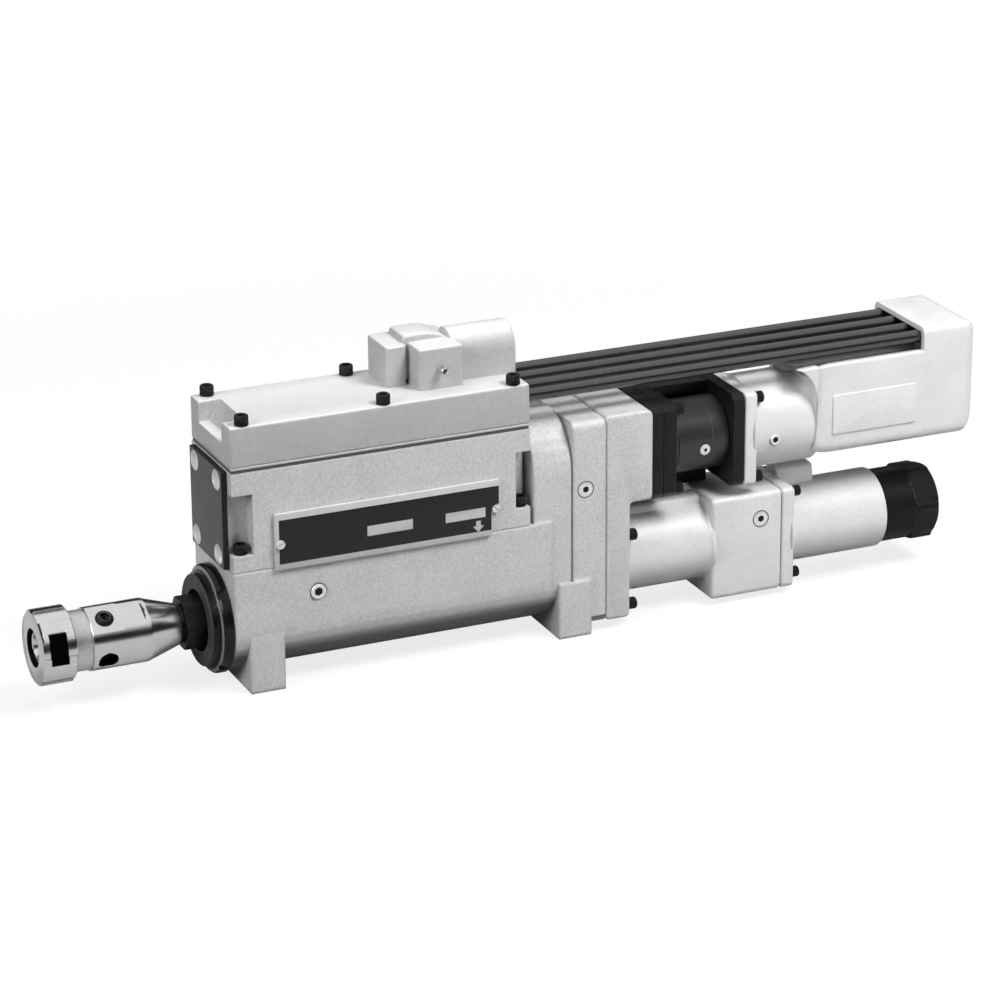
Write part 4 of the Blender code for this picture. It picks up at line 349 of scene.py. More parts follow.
@dataclass(frozen=True)
class GroundSteel:
    """Steel or plated screws and plugs: satin with faint crossing scratches."""

    grey: tuple[float, float, float] = (0.66, 0.66, 0.65)
    roughness: float = 0.30
    metallic: float = 1.0
    edge: float = 0.3 * MM

    def paint(self, name: str) -> bpy.types.Material:
        """Builds the material for one piece."""
        graph = Graph(name)
        normal, edges = graph.worn_edges(self.edge)
        along = graph.noise(900.0, 2.0, (0.03, 1.0, 1.0))
        spots = graph.noise(260.0, 4.0)
        colour = graph.mix(((spots - 0.5) * 0.5 + 0.45 + edges * 0.4).least(1.0).most(0.0),
                           scaled(self.grey, 0.78), scaled(self.grey, 1.2))
        rough = (along - 0.5) * 0.16 + (spots - 0.5) * 0.12 + self.roughness
        return graph.surface({"Base Color": colour, "Roughness": rough, "Metallic": self.metallic,
                              "Normal": graph.bump(along, 0.12, 0.02 * MM, normal)})


@dataclass(frozen=True)
class BlackOxide:
    """Blackened steel: near black, satin, with lighter rubbed edges, partly real wear and partly a painted highlight.
    """

    grey: tuple[float, float, float] = (0.006, 0.006, 0.0063)
    roughness: float = 0.36
    gloss: float = 0.16
    rub: float = 0.25
    edge: float = 0.35 * MM

    def paint(self, name: str) -> bpy.types.Material:
        """Builds the material for one piece."""
        graph = Graph(name)
        normal, edges = graph.worn_edges(self.edge)
        fine = graph.noise(800.0, 3.0)
        clouds = graph.noise(55.0, 4.0)
        # Lighter edges: rubbed wear, and a painted highlight where the edges catch the light.
        worn = edges * (graph.noise(300.0, 2.0).rise(0.30, 0.62))
        base = graph.mix(clouds, scaled(self.grey, 0.7), scaled(self.grey, 1.7))
        colour = graph.mix(worn * self.rub, base, (0.42, 0.42, 0.42))
        rough = (fine - 0.5) * 0.20 + (clouds - 0.5) * 0.20 + self.roughness
        return graph.surface({"Base Color": colour, "Roughness": rough, "Specular IOR Level": self.gloss,
                              "Normal": graph.bump(fine, 0.10, 0.04 * MM, normal)})


@dataclass(frozen=True)
class Bronze:
    """Bearing bronze, turned."""

    colour: tuple[float, float, float] = (0.55, 0.36, 0.16)

    def paint(self, name: str) -> bpy.types.Material:
        """Builds the material for one piece."""
        graph = Graph(name)
        rings = graph.noise(1800.0, 2.0, (1.0, 0.01, 0.01))
        stain = graph.noise(60.0, 4.0)
        colour = graph.mix(stain, scaled(self.colour, 0.6), scaled(self.colour, 1.3))
        return graph.surface({"Base Color": colour, "Roughness": (rings - 0.5) * 0.2 + 0.34, "Metallic": 1.0,
                              "Normal": graph.bump(rings, 0.2, 0.02 * MM)})


@dataclass(frozen=True)
class GasketPaper:
    """Pressed fibre sheet, matt, with short fibres."""

    colour: tuple[float, float, float] = (0.10, 0.095, 0.085)

    def paint(self, name: str) -> bpy.types.Material:
        """Builds the material for one piece."""
        graph = Graph(name)
        fibres = graph.noise(520.0, 4.0, (1.0, 2.4, 3.0))
        colour = graph.mix(fibres, scaled(self.colour, 0.5), scaled(self.colour, 1.7))
        return graph.surface({"Base Color": colour, "Roughness": (fibres - 0.5) * 0.1 + 0.88,
                              "Normal": graph.bump(fibres, 0.4, 0.06 * MM)})


@dataclass(frozen=True)
class BlackNylon:
    """Drawn nylon tube: glossy black with faint lengthwise haze."""

    grey: tuple[float, float, float] = (0.006, 0.006, 0.0065)
    roughness: float = 0.24

    def paint(self, name: str) -> bpy.types.Material:
        """Builds the material for one piece."""
        graph = Graph(name)
        haze = graph.noise(260.0, 3.0, (0.05, 1.0, 1.0))
        dust = graph.noise(900.0, 2.0)
        colour = graph.mix(haze, scaled(self.grey, 0.6), scaled(self.grey, 2.6))
        rough = (haze - 0.5) * 0.20 + (dust - 0.5) * 0.08 + self.roughness
        return graph.surface({"Base Color": colour, "Roughness": rough, "Specular IOR Level": 1.0,
                              "Normal": graph.bump(haze, 0.08, 0.05 * MM)})


@dataclass(frozen=True)
class ChuckSteel:
    """Ground steel of the chuck: hard bright bands, lengthwise marks, and painted shade in near black in the deep
    cuts and bores.
    """

    grey: tuple[float, float, float] = (0.72, 0.72, 0.71)
    roughness: float = 0.19
    edge: float = 0.3 * MM
    collar: tuple[float, float] = mm(-117.8, -106.6)
    # radius inside which the body's inside is painted near black: painted shade
    pit: float = 16.9 * MM
    bore: tuple[float, float] = (0.0, 0.0)
    cut_turn: float = 0.0
    cut_x: tuple[float, float] = (0.0, 0.0)
    cut_half: float = 0.0
    cut_height: float = 0.0

    def paint(self, name: str) -> bpy.types.Material:
        """Builds the material for one piece."""
        graph = Graph(name)
        normal, edges = graph.worn_edges(self.edge)
        x, y, z = graph.axes()
        rise = z - SPINDLE_Z
        radius = (y * y + rise * rise) ** 0.5
        # Painted shade: the inside of the body, the given bores and the cut regions are coloured near black, as the
        # shade that falls in them.
        deep = (radius < self.pit) * x.between(-112 * MM, -70 * MM)
        if self.bore[1]:
            deep = deep + radius.between(*self.bore)
        if self.cut_half:
            up, side = math.cos(self.cut_turn), math.sin(self.cut_turn)
            beside_cut = abs(y * up + rise * side) < self.cut_half
            deep = deep + (radius < self.cut_height) * (radius > 15 * MM) * beside_cut * x.between(*self.cut_x)
        deep = deep.least(1.0)
        speckle = graph.noise(520.0, 5.0, rough=0.7)
        lengthwise = graph.noise(700.0, 2.0, (0.02, 1.0, 1.0))
        smears = graph.noise(60.0, 4.0)
        matt = x.between(*self.collar)
        tone = (lengthwise - 0.5) * 0.4 + (smears - 0.5) * 0.4 + 0.5 - matt * (speckle - 0.42) * 1.6
        colour = graph.mix(tone.least(1.0).most(0.0), scaled(self.grey, 0.66), self.grey)
        colour = graph.mix(deep, colour, (0.004, 0.004, 0.004))
        rough = matt * 0.30 + deep * 0.3 + (lengthwise - 0.5) * 0.12 + (smears - 0.5) * 0.10 + self.roughness
        height = lengthwise * (1.0 - matt) + speckle * matt * 3.0
        return graph.surface({"Base Color": colour, "Roughness": rough, "Metallic": 1.0 - edges * 0.1,
                              "Normal": graph.bump(height, 0.22, 0.03 * MM, normal)})


@dataclass(frozen=True)
class RingBlack:
    """Blackened ring: gloss on the rims, a dull grey front face and fine turned lines."""

    grey: float = 0.006
    face: float = 0.045
    face_place: float = -33.0 * MM

    def paint(self, name: str) -> bpy.types.Material:
        """Builds the material for one piece."""
        graph = Graph(name)
        normal, edges = graph.worn_edges(0.35 * MM)
        x, y, z = graph.axes()
        rise = z - SPINDLE_Z
        radius = (y * y + rise * rise) ** 0.5
        front = (x < self.face_place + 0.25 * MM) * (radius > 19.8 * MM)
        fine = graph.noise(900.0, 3.0)
        lines = graph.noise(1900.0, 2.0, (1.0, 0.01, 0.01))
        line = x.between(-28.1 * MM, -27.6 * MM)
        worn = (edges * fine.rise(0.35, 0.6) * 0.5 + line * 0.45).least(1.0)
        base = graph.mix(front, (self.grey,) * 3, (self.face,) * 3)
        colour = graph.mix(worn, base, (0.5, 0.5, 0.5))
        rough = front * 0.32 + (fine - 0.5) * 0.16 + 0.24
        return graph.surface({"Base Color": colour, "Roughness": rough, "Metallic": 0.10,
                              "Specular IOR Level": 0.24,
                              "Normal": graph.bump(lines + fine * 0.5, 0.14, 0.03 * MM, normal)})


@dataclass(frozen=True)
class PlateBlack:
    """Painted front plate: black sides, and the face that looks forward coloured dull dark grey, a painted highlight.
    """

    face: float = 0.095
    side: float = 0.006

    def paint(self, name: str) -> bpy.types.Material:
        """Builds the material for one piece."""
        graph = Graph(name)
        normal, edges = graph.worn_edges(0.5 * MM)
        ahead, _, _ = graph.facing()
        # Painted light: faces that look forward get the lighter grey and lighter clouds, a painted highlight.
        front = (ahead * -1.0).rise(0.6, 0.95)
        fine = graph.noise(700.0, 3.0)
        clouds = graph.noise(40.0, 4.0)
        base = graph.mix(front, (self.side,) * 3, (self.face * 0.9,) * 3)
        colour = graph.mix((clouds - 0.3).most(0.0) * 0.25 * front, base, (self.face * 1.8,) * 3)
        colour = graph.mix(edges * fine * 0.35, colour, (0.3, 0.3, 0.3))
        return graph.surface({"Base Color": colour, "Roughness": (fine - 0.5) * 0.2 + 0.50,
                              "Specular IOR Level": 0.3, "Normal": graph.bump(fine, 0.12, 0.05 * MM, normal)})


@dataclass(frozen=True)
class PlatedScrew:
    """Bright plated screws: light, satin, with faint rings of wear."""

    grey: tuple[float, float, float] = (0.86, 0.86, 0.85)
    roughness: float = 0.34

    def paint(self, name: str) -> bpy.types.Material:
        """Builds the material for one piece."""
        graph = Graph(name)
        normal, edges = graph.worn_edges(0.3 * MM)
        spots = graph.noise(330.0, 4.0)
        fine = graph.noise(1400.0, 2.0)
        colour = graph.mix(((spots - 0.5) * 0.8 + 0.6 + edges * 0.2).least(1.0).most(0.0),
                           scaled(self.grey, 0.72), self.grey)
        return graph.surface({"Base Color": colour, "Roughness": (spots - 0.5) * 0.16 + self.roughness,
                              "Metallic": 0.55, "Normal": graph.bump(fine, 0.10, 0.03 * MM, normal)})


LIGHT_PLATING = PlatedScrew(grey=(0.9, 0.9, 0.89))


@dataclass(frozen=True)
class PrintedPlate:
    """Stroke plate: black field, pale border, two blank pale boxes and a pale arrow, dull lacquer."""

    low: tuple[float, float] = (0.0, 0.0)
    high: tuple[float, float] = (0.1, 0.1)
    ink: float = 0.62
    field_grey: float = 0.011
    border: tuple[float, float, float] = mm(2.6, 3.9, 4.3)
    arrow: float = 141.5 * MM
    boxes: tuple[tuple[float, ...], ...] = (mm(66.8, 97.2, 93.2, 99.8),
                                            mm(119.3, 146.3, 93.3, 99.6))

    def paint(self, name: str) -> bpy.types.Material:
        """Builds the material: the print is set by comparing x and z with the sides of its shapes."""
        graph = Graph(name)
        normal, edges = graph.worn_edges(0.35 * MM)
        x, _, z = graph.axes()
        left, bottom, top = self.border
        inside = (x > self.low[0] + left) * (x < self.high[0] - 0.5 * MM) \
            * (z > self.low[1] + bottom) * (z < self.high[1] - top)
        ink = 1.0 - inside
        for x0, x1, z0, z1 in self.boxes:
            ink = ink + x.between(x0, x1) * z.between(z0, z1)
        middle = self.arrow
        shaft = x.between(middle - 1.6 * MM, middle + 1.6 * MM) * z.between(87.6 * MM, 91.3 * MM)
        away = abs(x - middle)
        head = (away < (z - 83.9 * MM) * 0.95) * z.between(83.9 * MM, 87.9 * MM)
        ink = (ink + shaft + head).least(1.0)
        fade = graph.noise(120.0, 4.0)
        fine = graph.noise(900.0, 2.0)
        pale = (self.ink,) * 3
        colour = graph.mix(ink * (fade * 0.2 + 0.8).least(1.0), (self.field_grey,) * 3, pale)
        rough = (fade - 0.5) * 0.14 + ink * 0.10 + 0.40
        return graph.surface({"Base Color": colour, "Roughness": rough, "Specular IOR Level": 0.3,
                              "Metallic": edges * 0.2, "Normal": graph.bump(fine, 0.06, 0.03 * MM, normal)})


# ------------------------------------------------------------------------- stage, lamps, camera

@dataclass(frozen=True)
class PhotoCamera:
    """The camera at the photograph's place: a long lens, from the front left and above."""

    place: tuple[float, float, float] = (-0.7706, -2.1402, 0.9702)
    yaw: float = math.radians(23.78)
    pitch: float = math.radians(20.67)
    roll: float = math.radians(-0.40)
    focal_pixels: float = 3928.4
    frame_pixels: float = 999.0
    sensor: float = 36.0

    def set_up(self) -> bpy.types.Object:
        """Adds the camera and makes it the scene's.

        Returns:
            The camera object.
        """
        data = bpy.data.cameras.new("photo_camera")
        camera = bpy.data.objects.new("photo_camera", data)
        bpy.context.scene.collection.objects.link(camera)
        data.sensor_width = self.sensor
        data.lens = self.focal_pixels / self.frame_pixels * self.sensor
        data.clip_end = 40.0
        back = Vector((-math.sin(self.yaw) * math.cos(self.pitch), -math.cos(self.yaw) * math.cos(self.pitch),
                       math.sin(self.pitch)))
        side = Vector((math.cos(self.yaw), -math.sin(self.yaw), 0.0))
        up = side.cross(-back)
        right = side * math.cos(self.roll) + up * math.sin(self.roll)
        over = up * math.cos(self.roll) - side * math.sin(self.roll)
        rows = [(right[i], over[i], back[i], self.place[i]) for i in range(3)] + [(0, 0, 0, 1)]
        camera.matrix_world = Matrix(rows)
        bpy.context.scene.camera = camera
        return camera


@dataclass(frozen=True)
class Studio:
    """Plain pale floor, soft lamps and a white surround."""

    floor_size: float = 14.0
    floor_level: float = -0.2 * MM
    floor_grey: float = 0.86
    bounce_grey: float = 0.06
    mirror_grey: float = 0.50
    ambient: float = 0.15
    wall: float = 0.012
    ceiling: float = 1.10
    horizon: tuple[float, float] = (0.34, 0.66)

    def floor(self) -> bpy.types.Object:
        """Adds the floor, which the camera sees nearly white and which keeps a soft shadow."""
        half = self.floor_size / 2
        corners = np.array([(-half, -half, 0), (half, -half, 0), (half, half, 0), (-half, half, 0)], float)
        corners[:, 2] = self.floor_level
        mesh = bpy.data.meshes.new("floor")
        mesh.from_pydata(corners.tolist(), [], [(0, 1, 2, 3)])
        floor = bpy.data.objects.new("floor", mesh)
        bpy.context.scene.collection.objects.link(floor)
        graph = Graph("pale_floor")
        cloud = graph.noise(1.5, 2.0)
        camera = graph.node("ShaderNodeLightPath", output="Is Camera Ray")
        pale = graph.mix(cloud, (self.floor_grey - 0.01,) * 3, (self.floor_grey + 0.01,) * 3)
        mirrored = graph.node("ShaderNodeLightPath", output="Is Glossy Ray")
        dull = graph.mix(mirrored, (self.bounce_grey,) * 3, (self.mirror_grey,) * 3)
        colour = graph.mix(camera, dull, pale)
        matt = graph.node("ShaderNodeBsdfPrincipled", {}, {"Base Color": colour, "Roughness": 0.9,
                                                           "Specular IOR Level": 0.0})
        glow = graph.node("ShaderNodeEmission", {}, {"Color": (1, 1, 1, 1), "Strength": 1.0})
        x, y, _ = graph.axes()
        far = (((x - 0.18) ** 2.0 + y ** 2.0) ** 0.5).rise(0.35, 0.95)
        seen = camera * (far * 0.20 + 0.80)
        both = graph.node("ShaderNodeMixShader", {}, {0: seen, 1: matt, 2: glow})
        graph.tree.links.new(both.socket, graph.output.inputs["Surface"])
        mesh.materials.append(graph.material)
        return floor

    def surround(self) -> None:
        """Sets the world: white to the camera, darker walls and a bright ceiling in reflections."""
        world = bpy.data.worlds.new("studio")
        bpy.context.scene.world = world
        world.use_nodes = True
        nodes, links = world.node_tree.nodes, world.node_tree.links
        nodes.clear()

        def add(kind: str, values: dict[int | str, object], **settings: str) -> bpy.types.Node:
            """Adds a node whose inputs are set to values or linked to the sockets given for them."""
            node = nodes.new(f"ShaderNode{kind}")
            for key, setting in settings.items():
                setattr(node, key, setting)
            for key, value in values.items():
                if isinstance(value, bpy.types.NodeSocket):
                    links.new(value, node.inputs[key])
                else:
                    node.inputs[key].default_value = value
            return node

        path = add("LightPath", {}).outputs
        seen = add("Math", {0: path["Is Camera Ray"], 1: path["Is Transmission Ray"]}, operation="MAXIMUM")
        split = add("SeparateXYZ", {0: add("TexCoord", {}).outputs["Generated"]})
        ramp = add("MapRange", {"Value": split.outputs["Z"], "From Min": self.horizon[0],
                                "From Max": self.horizon[1], "To Min": self.wall, "To Max": self.ceiling},
                   interpolation_type="SMOOTHSTEP")
        soft = add("Mix", {0: path["Is Glossy Ray"], 2: self.ambient, 3: ramp.outputs[0]}, data_type="FLOAT")
        room = add("Background", {"Color": (1, 1, 1, 1), "Strength": soft.outputs[0]})
        white = add("Background", {"Color": (1, 1, 1, 1), "Strength": 1.0})
        both = add("MixShader", {0: seen.outputs[0], 1: room.outputs[0], 2: white.outputs[0]})
        add("OutputWorld", {"Surface": both.outputs[0]})

    def lamp(self, name: str, place: Sequence[float], aim: Sequence[float], size: float, watts: float,
             mirrored: bool = False, cone: float = 0.0) -> None:
        """Adds one soft lamp: a square one, or a spot when it has a cone.

        Args:
            name: name of the lamp.
            place: where it stands.
            aim: the point that it faces.
            size: side of its square, or the spot's radius.
            watts: its power.
            mirrored: True when polished faces may reflect it.
            cone: angle of a spot's cone in degrees.
        """
        data = bpy.data.lights.new(name, "SPOT" if cone else "AREA")
        if cone:
            data.spot_size, data.spot_blend, data.shadow_soft_size = math.radians(cone), 1.0, size
        else:
            data.shape, data.size = "SQUARE", size
        data.energy = watts
        lamp = bpy.data.objects.new(name, data)
        bpy.context.scene.collection.objects.link(lamp)
        lamp.location = Vector(place)
        lamp.visible_glossy = mirrored
        lamp.rotation_euler = (Vector(aim) - Vector(place)).to_track_quat("-Z", "Y").to_euler()

    def set_up(self) -> None:
        """Adds floor, surround and lamps, and sets the plain view transform."""
        bpy.context.scene.view_settings.view_transform = "Standard"
        self.floor()
        self.surround()
        middle = (0.18, 0.0, 0.09)
        self.lamp("key_lamp", (0.78, -0.80, 1.40), (0.28, 0.0, 0.09), 0.6, 32.0)
        self.lamp("over_lamp", (0.10, 0.25, 1.50), middle, 0.8, 7.5)
        self.lamp("front_lamp", (-1.25, -0.50, 0.90), middle, 0.7, 16.0, mirrored=True)
        self.lamp("side_lamp", (0.95, -0.85, 0.12), (0.47, 0.0, 0.07), 0.2, 15.0, cone=38.0)


# ---------------------------------------------------------------------------------- mesh shapes

SPINDLE_Z = 40.5 * MM
MOTOR_Z = 115.8 * MM
PLATE_LOW = 81.5 * MM
PLATE_TOP = 144.5 * MM


class Axis(Enum):
    """Axis that a shape is made along: its number, then those of the two that lie across it."""

    X = (0, 1, 2)
    Y = (1, 2, 0)
    Z = (2, 0, 1)


def grid_object(name: str, points: Array, loop: bool = False, sharp: float = 34.0) -> bpy.types.Object:
    """Closed surface over a grid of points whose columns run round the shape.

    Args:
        name: name of the piece.
        points: rows by columns by three places.
        loop: True joins the last row to the first, as on a ring; otherwise both ends get a face.
        sharp: edges that turn by more degrees than this stay sharp.

    Returns:
        The piece, with its faces outward.
    """
    rows, columns = points.shape[:2]
    index = np.arange(rows * columns).reshape(rows, columns)
    along = np.concatenate([index, index[:1]]) if loop else index
    round_ = np.concatenate([along, along[:, :1]], axis=1)
    faces = np.stack([round_[:-1, :-1], round_[1:, :-1], round_[1:, 1:], round_[:-1, 1:]], -1).reshape(-1, 4).tolist()
    if not loop:
        faces += [index[0, ::-1].tolist(), index[-1].tolist()]
    mesh = bpy.data.meshes.new(name)
    mesh.from_pydata(points.reshape(-1, 3).tolist(), [], faces)
    shape = bmesh.new()
    shape.from_mesh(mesh)
    bmesh.ops.remove_doubles(shape, verts=shape.verts, dist=2e-7)
    bmesh.ops.dissolve_degenerate(shape, edges=shape.edges, dist=1e-7)
    bmesh.ops.recalc_face_normals(shape, faces=shape.faces)
    shape.to_mesh(mesh)
    shape.free()
    mesh.polygons.foreach_set("use_smooth", np.ones(len(mesh.polygons), bool))
    mesh.set_sharp_from_angle(angle=math.radians(sharp))
    mesh.update()
    piece = bpy.data.objects.new(name, mesh)
    bpy.context.scene.collection.objects.link(piece)
    return piece


def round_corners(points: Sequence[Sequence[float]], cut: float | Sequence[float], steps: int = 5) -> Array:
    """Outline with a quadratic curve in place of each corner: (1-s)^2 start + 2s(1-s) corner + s^2 end.

    Args:
        points: corners of a closed outline.
        cut: length taken off the sides at each corner.
        steps: points on each curve.

    Returns:
        The points of the rounded outline.
    """
    corner = np.asarray(points, float)
    before, after = np.roll(corner, 1, 0) - corner, np.roll(corner, -1, 0) - corner
    lengths = np.linalg.norm(before, axis=1), np.linalg.norm(after, axis=1)
    reach = np.minimum(np.broadcast_to(cut, len(corner)), 0.49 * np.minimum(*lengths))[:, None]
    start, end = (corner + side / length[:, None] * reach for side, length in zip((before, after), lengths))
    s = np.linspace(0.0, 1.0, steps)[None, :, None]
    curve = (1 - s) ** 2 * start[:, None] + 2 * s * (1 - s) * corner[:, None] + s ** 2 * end[:, None]
    return curve.reshape(-1, 2)


def rounded_box(low: Sequence[float], high: Sequence[float], cut: float, steps: int = 6) -> Array:
    """Outline of a rectangle with rounded corners, anticlockwise."""
    (a, b), (c, d) = low, high
    return round_corners([(a, b), (c, b), (c, d), (a, d)], cut, steps)


def swept(axis: Axis, along: Array, first: Array, second: Array) -> Array:
    """Grid of places from one coordinate along an axis and two across it."""
    grid = np.empty(np.broadcast_shapes(along.shape, first.shape, second.shape) + (3,))
    for number, values in zip(axis.value, (along, first, second)):
        grid[..., number] = values
    return grid


def turned(name: str, profile: Sequence[Sequence[float]], centre: Sequence[float], axis: Axis = Axis.X,
           steps: int | Array = 96, shape: Callable[[Array, Array, Array], Array] | None = None,
           loop: bool = False, dent: Callable[[Array], Array] | None = None) -> bpy.types.Object:
    """Profile of place and radius carried round an axis: (-r sin t, r cos t) across it.

    Args:
        name: name of the piece.
        profile: places along the axis and radii.
        centre: the axis' place across it, by its own two numbers.
        axis: the axis.
        steps: number of columns, or their angles.
        shape: changes the radii, from place, radius and angle.
        loop: True for a ring, whose profile closes on itself.
        dent: moves the finished places, to press a slot into them.

    Returns:
        The piece.
    """
    profile = np.asarray(profile, float)
    angles = np.linspace(0, 2 * math.pi, steps, endpoint=False) if isinstance(steps, int) else steps
    place, radius = profile[:, :1], np.broadcast_to(profile[:, 1:], (len(profile), len(angles)))
    if shape is not None:
        radius = shape(place, radius, angles[None, :])
    grid = swept(axis, place, -radius * np.sin(angles), radius * np.cos(angles))
    for number, value in zip(axis.value[1:], centre):
        grid[..., number] += value
    return grid_object(name, grid if dent is None else dent(grid), loop)


def prism(name: str, outline: Array, axis: Axis, start: float, end: float, edge: float) -> bpy.types.Object:
    """Outline carried along an axis, its rims drawn in by a quarter circle.

    Args:
        name: name of the piece.
        outline: closed outline by the axis' two other numbers.
        axis: the axis.
        start: where it begins.
        end: where it ends.
        edge: radius of the rims.

    Returns:
        The piece.
    """
    tangent = np.roll(outline, -1, 0) - np.roll(outline, 1, 0)
    inward = np.stack([-tangent[:, 1], tangent[:, 0]], 1) / np.linalg.norm(tangent, axis=1)[:, None]
    area = np.sum(outline[:, 0] * np.roll(outline[:, 1], -1) - outline[:, 1] * np.roll(outline[:, 0], -1))
    inward *= np.sign(area)
    turn = np.linspace(0.0, math.pi / 2, 4)
    inset = edge * (1 - np.sin(turn))
    step = edge * (1 - np.cos(turn))
    inset = np.concatenate([inset, inset[::-1]])[:, None]
    place = np.concatenate([start + step, end - step[::-1]])[:, None]
    return grid_object(name, swept(axis, place, outline[None, :, 0] + inward[None, :, 0] * inset,
                                   outline[None, :, 1] + inward[None, :, 1] * inset))


def beside(*edges: float, gap: float = 0.002) -> Array:
    """Even angles round a circle, with a close pair at each listed angle for a steep wall."""
    pairs = np.array(edges)[:, None] + np.array([-gap, gap])[None, :]
    return np.unique(np.concatenate([np.linspace(0, 2 * math.pi, 96, endpoint=False), pairs.ravel() % (2 * math.pi)]))


def off(angle: Array, centre: float) -> Array:
    """Angle from a centre, from minus pi to pi."""
    return (angle - centre + math.pi) % (2 * math.pi) - math.pi


def about_x(angle: float) -> Array:
    """Matrix that turns +Z toward -Y by an angle."""
    return np.array([(1, 0, 0), (0, math.cos(angle), -math.sin(angle)), (0, math.sin(angle), math.cos(angle))])


def fit(piece: bpy.types.Object, paint: Callable[[str], bpy.types.Material], body: str,
        node: str = "") -> bpy.types.Object:
    """Gives a piece its material and its body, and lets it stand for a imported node.

    Args:
        piece: the new piece.
        paint: a finish's paint method.
        body: the body that it rides on.
        node: the node that it stands for, if any.

    Returns:
        The piece.
    """
    piece.data.materials.append(paint(piece.name))
    if node:
        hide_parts(node)
    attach(piece, body)
    return piece


# ------------------------------------------------------------------------------- sub-assemblies

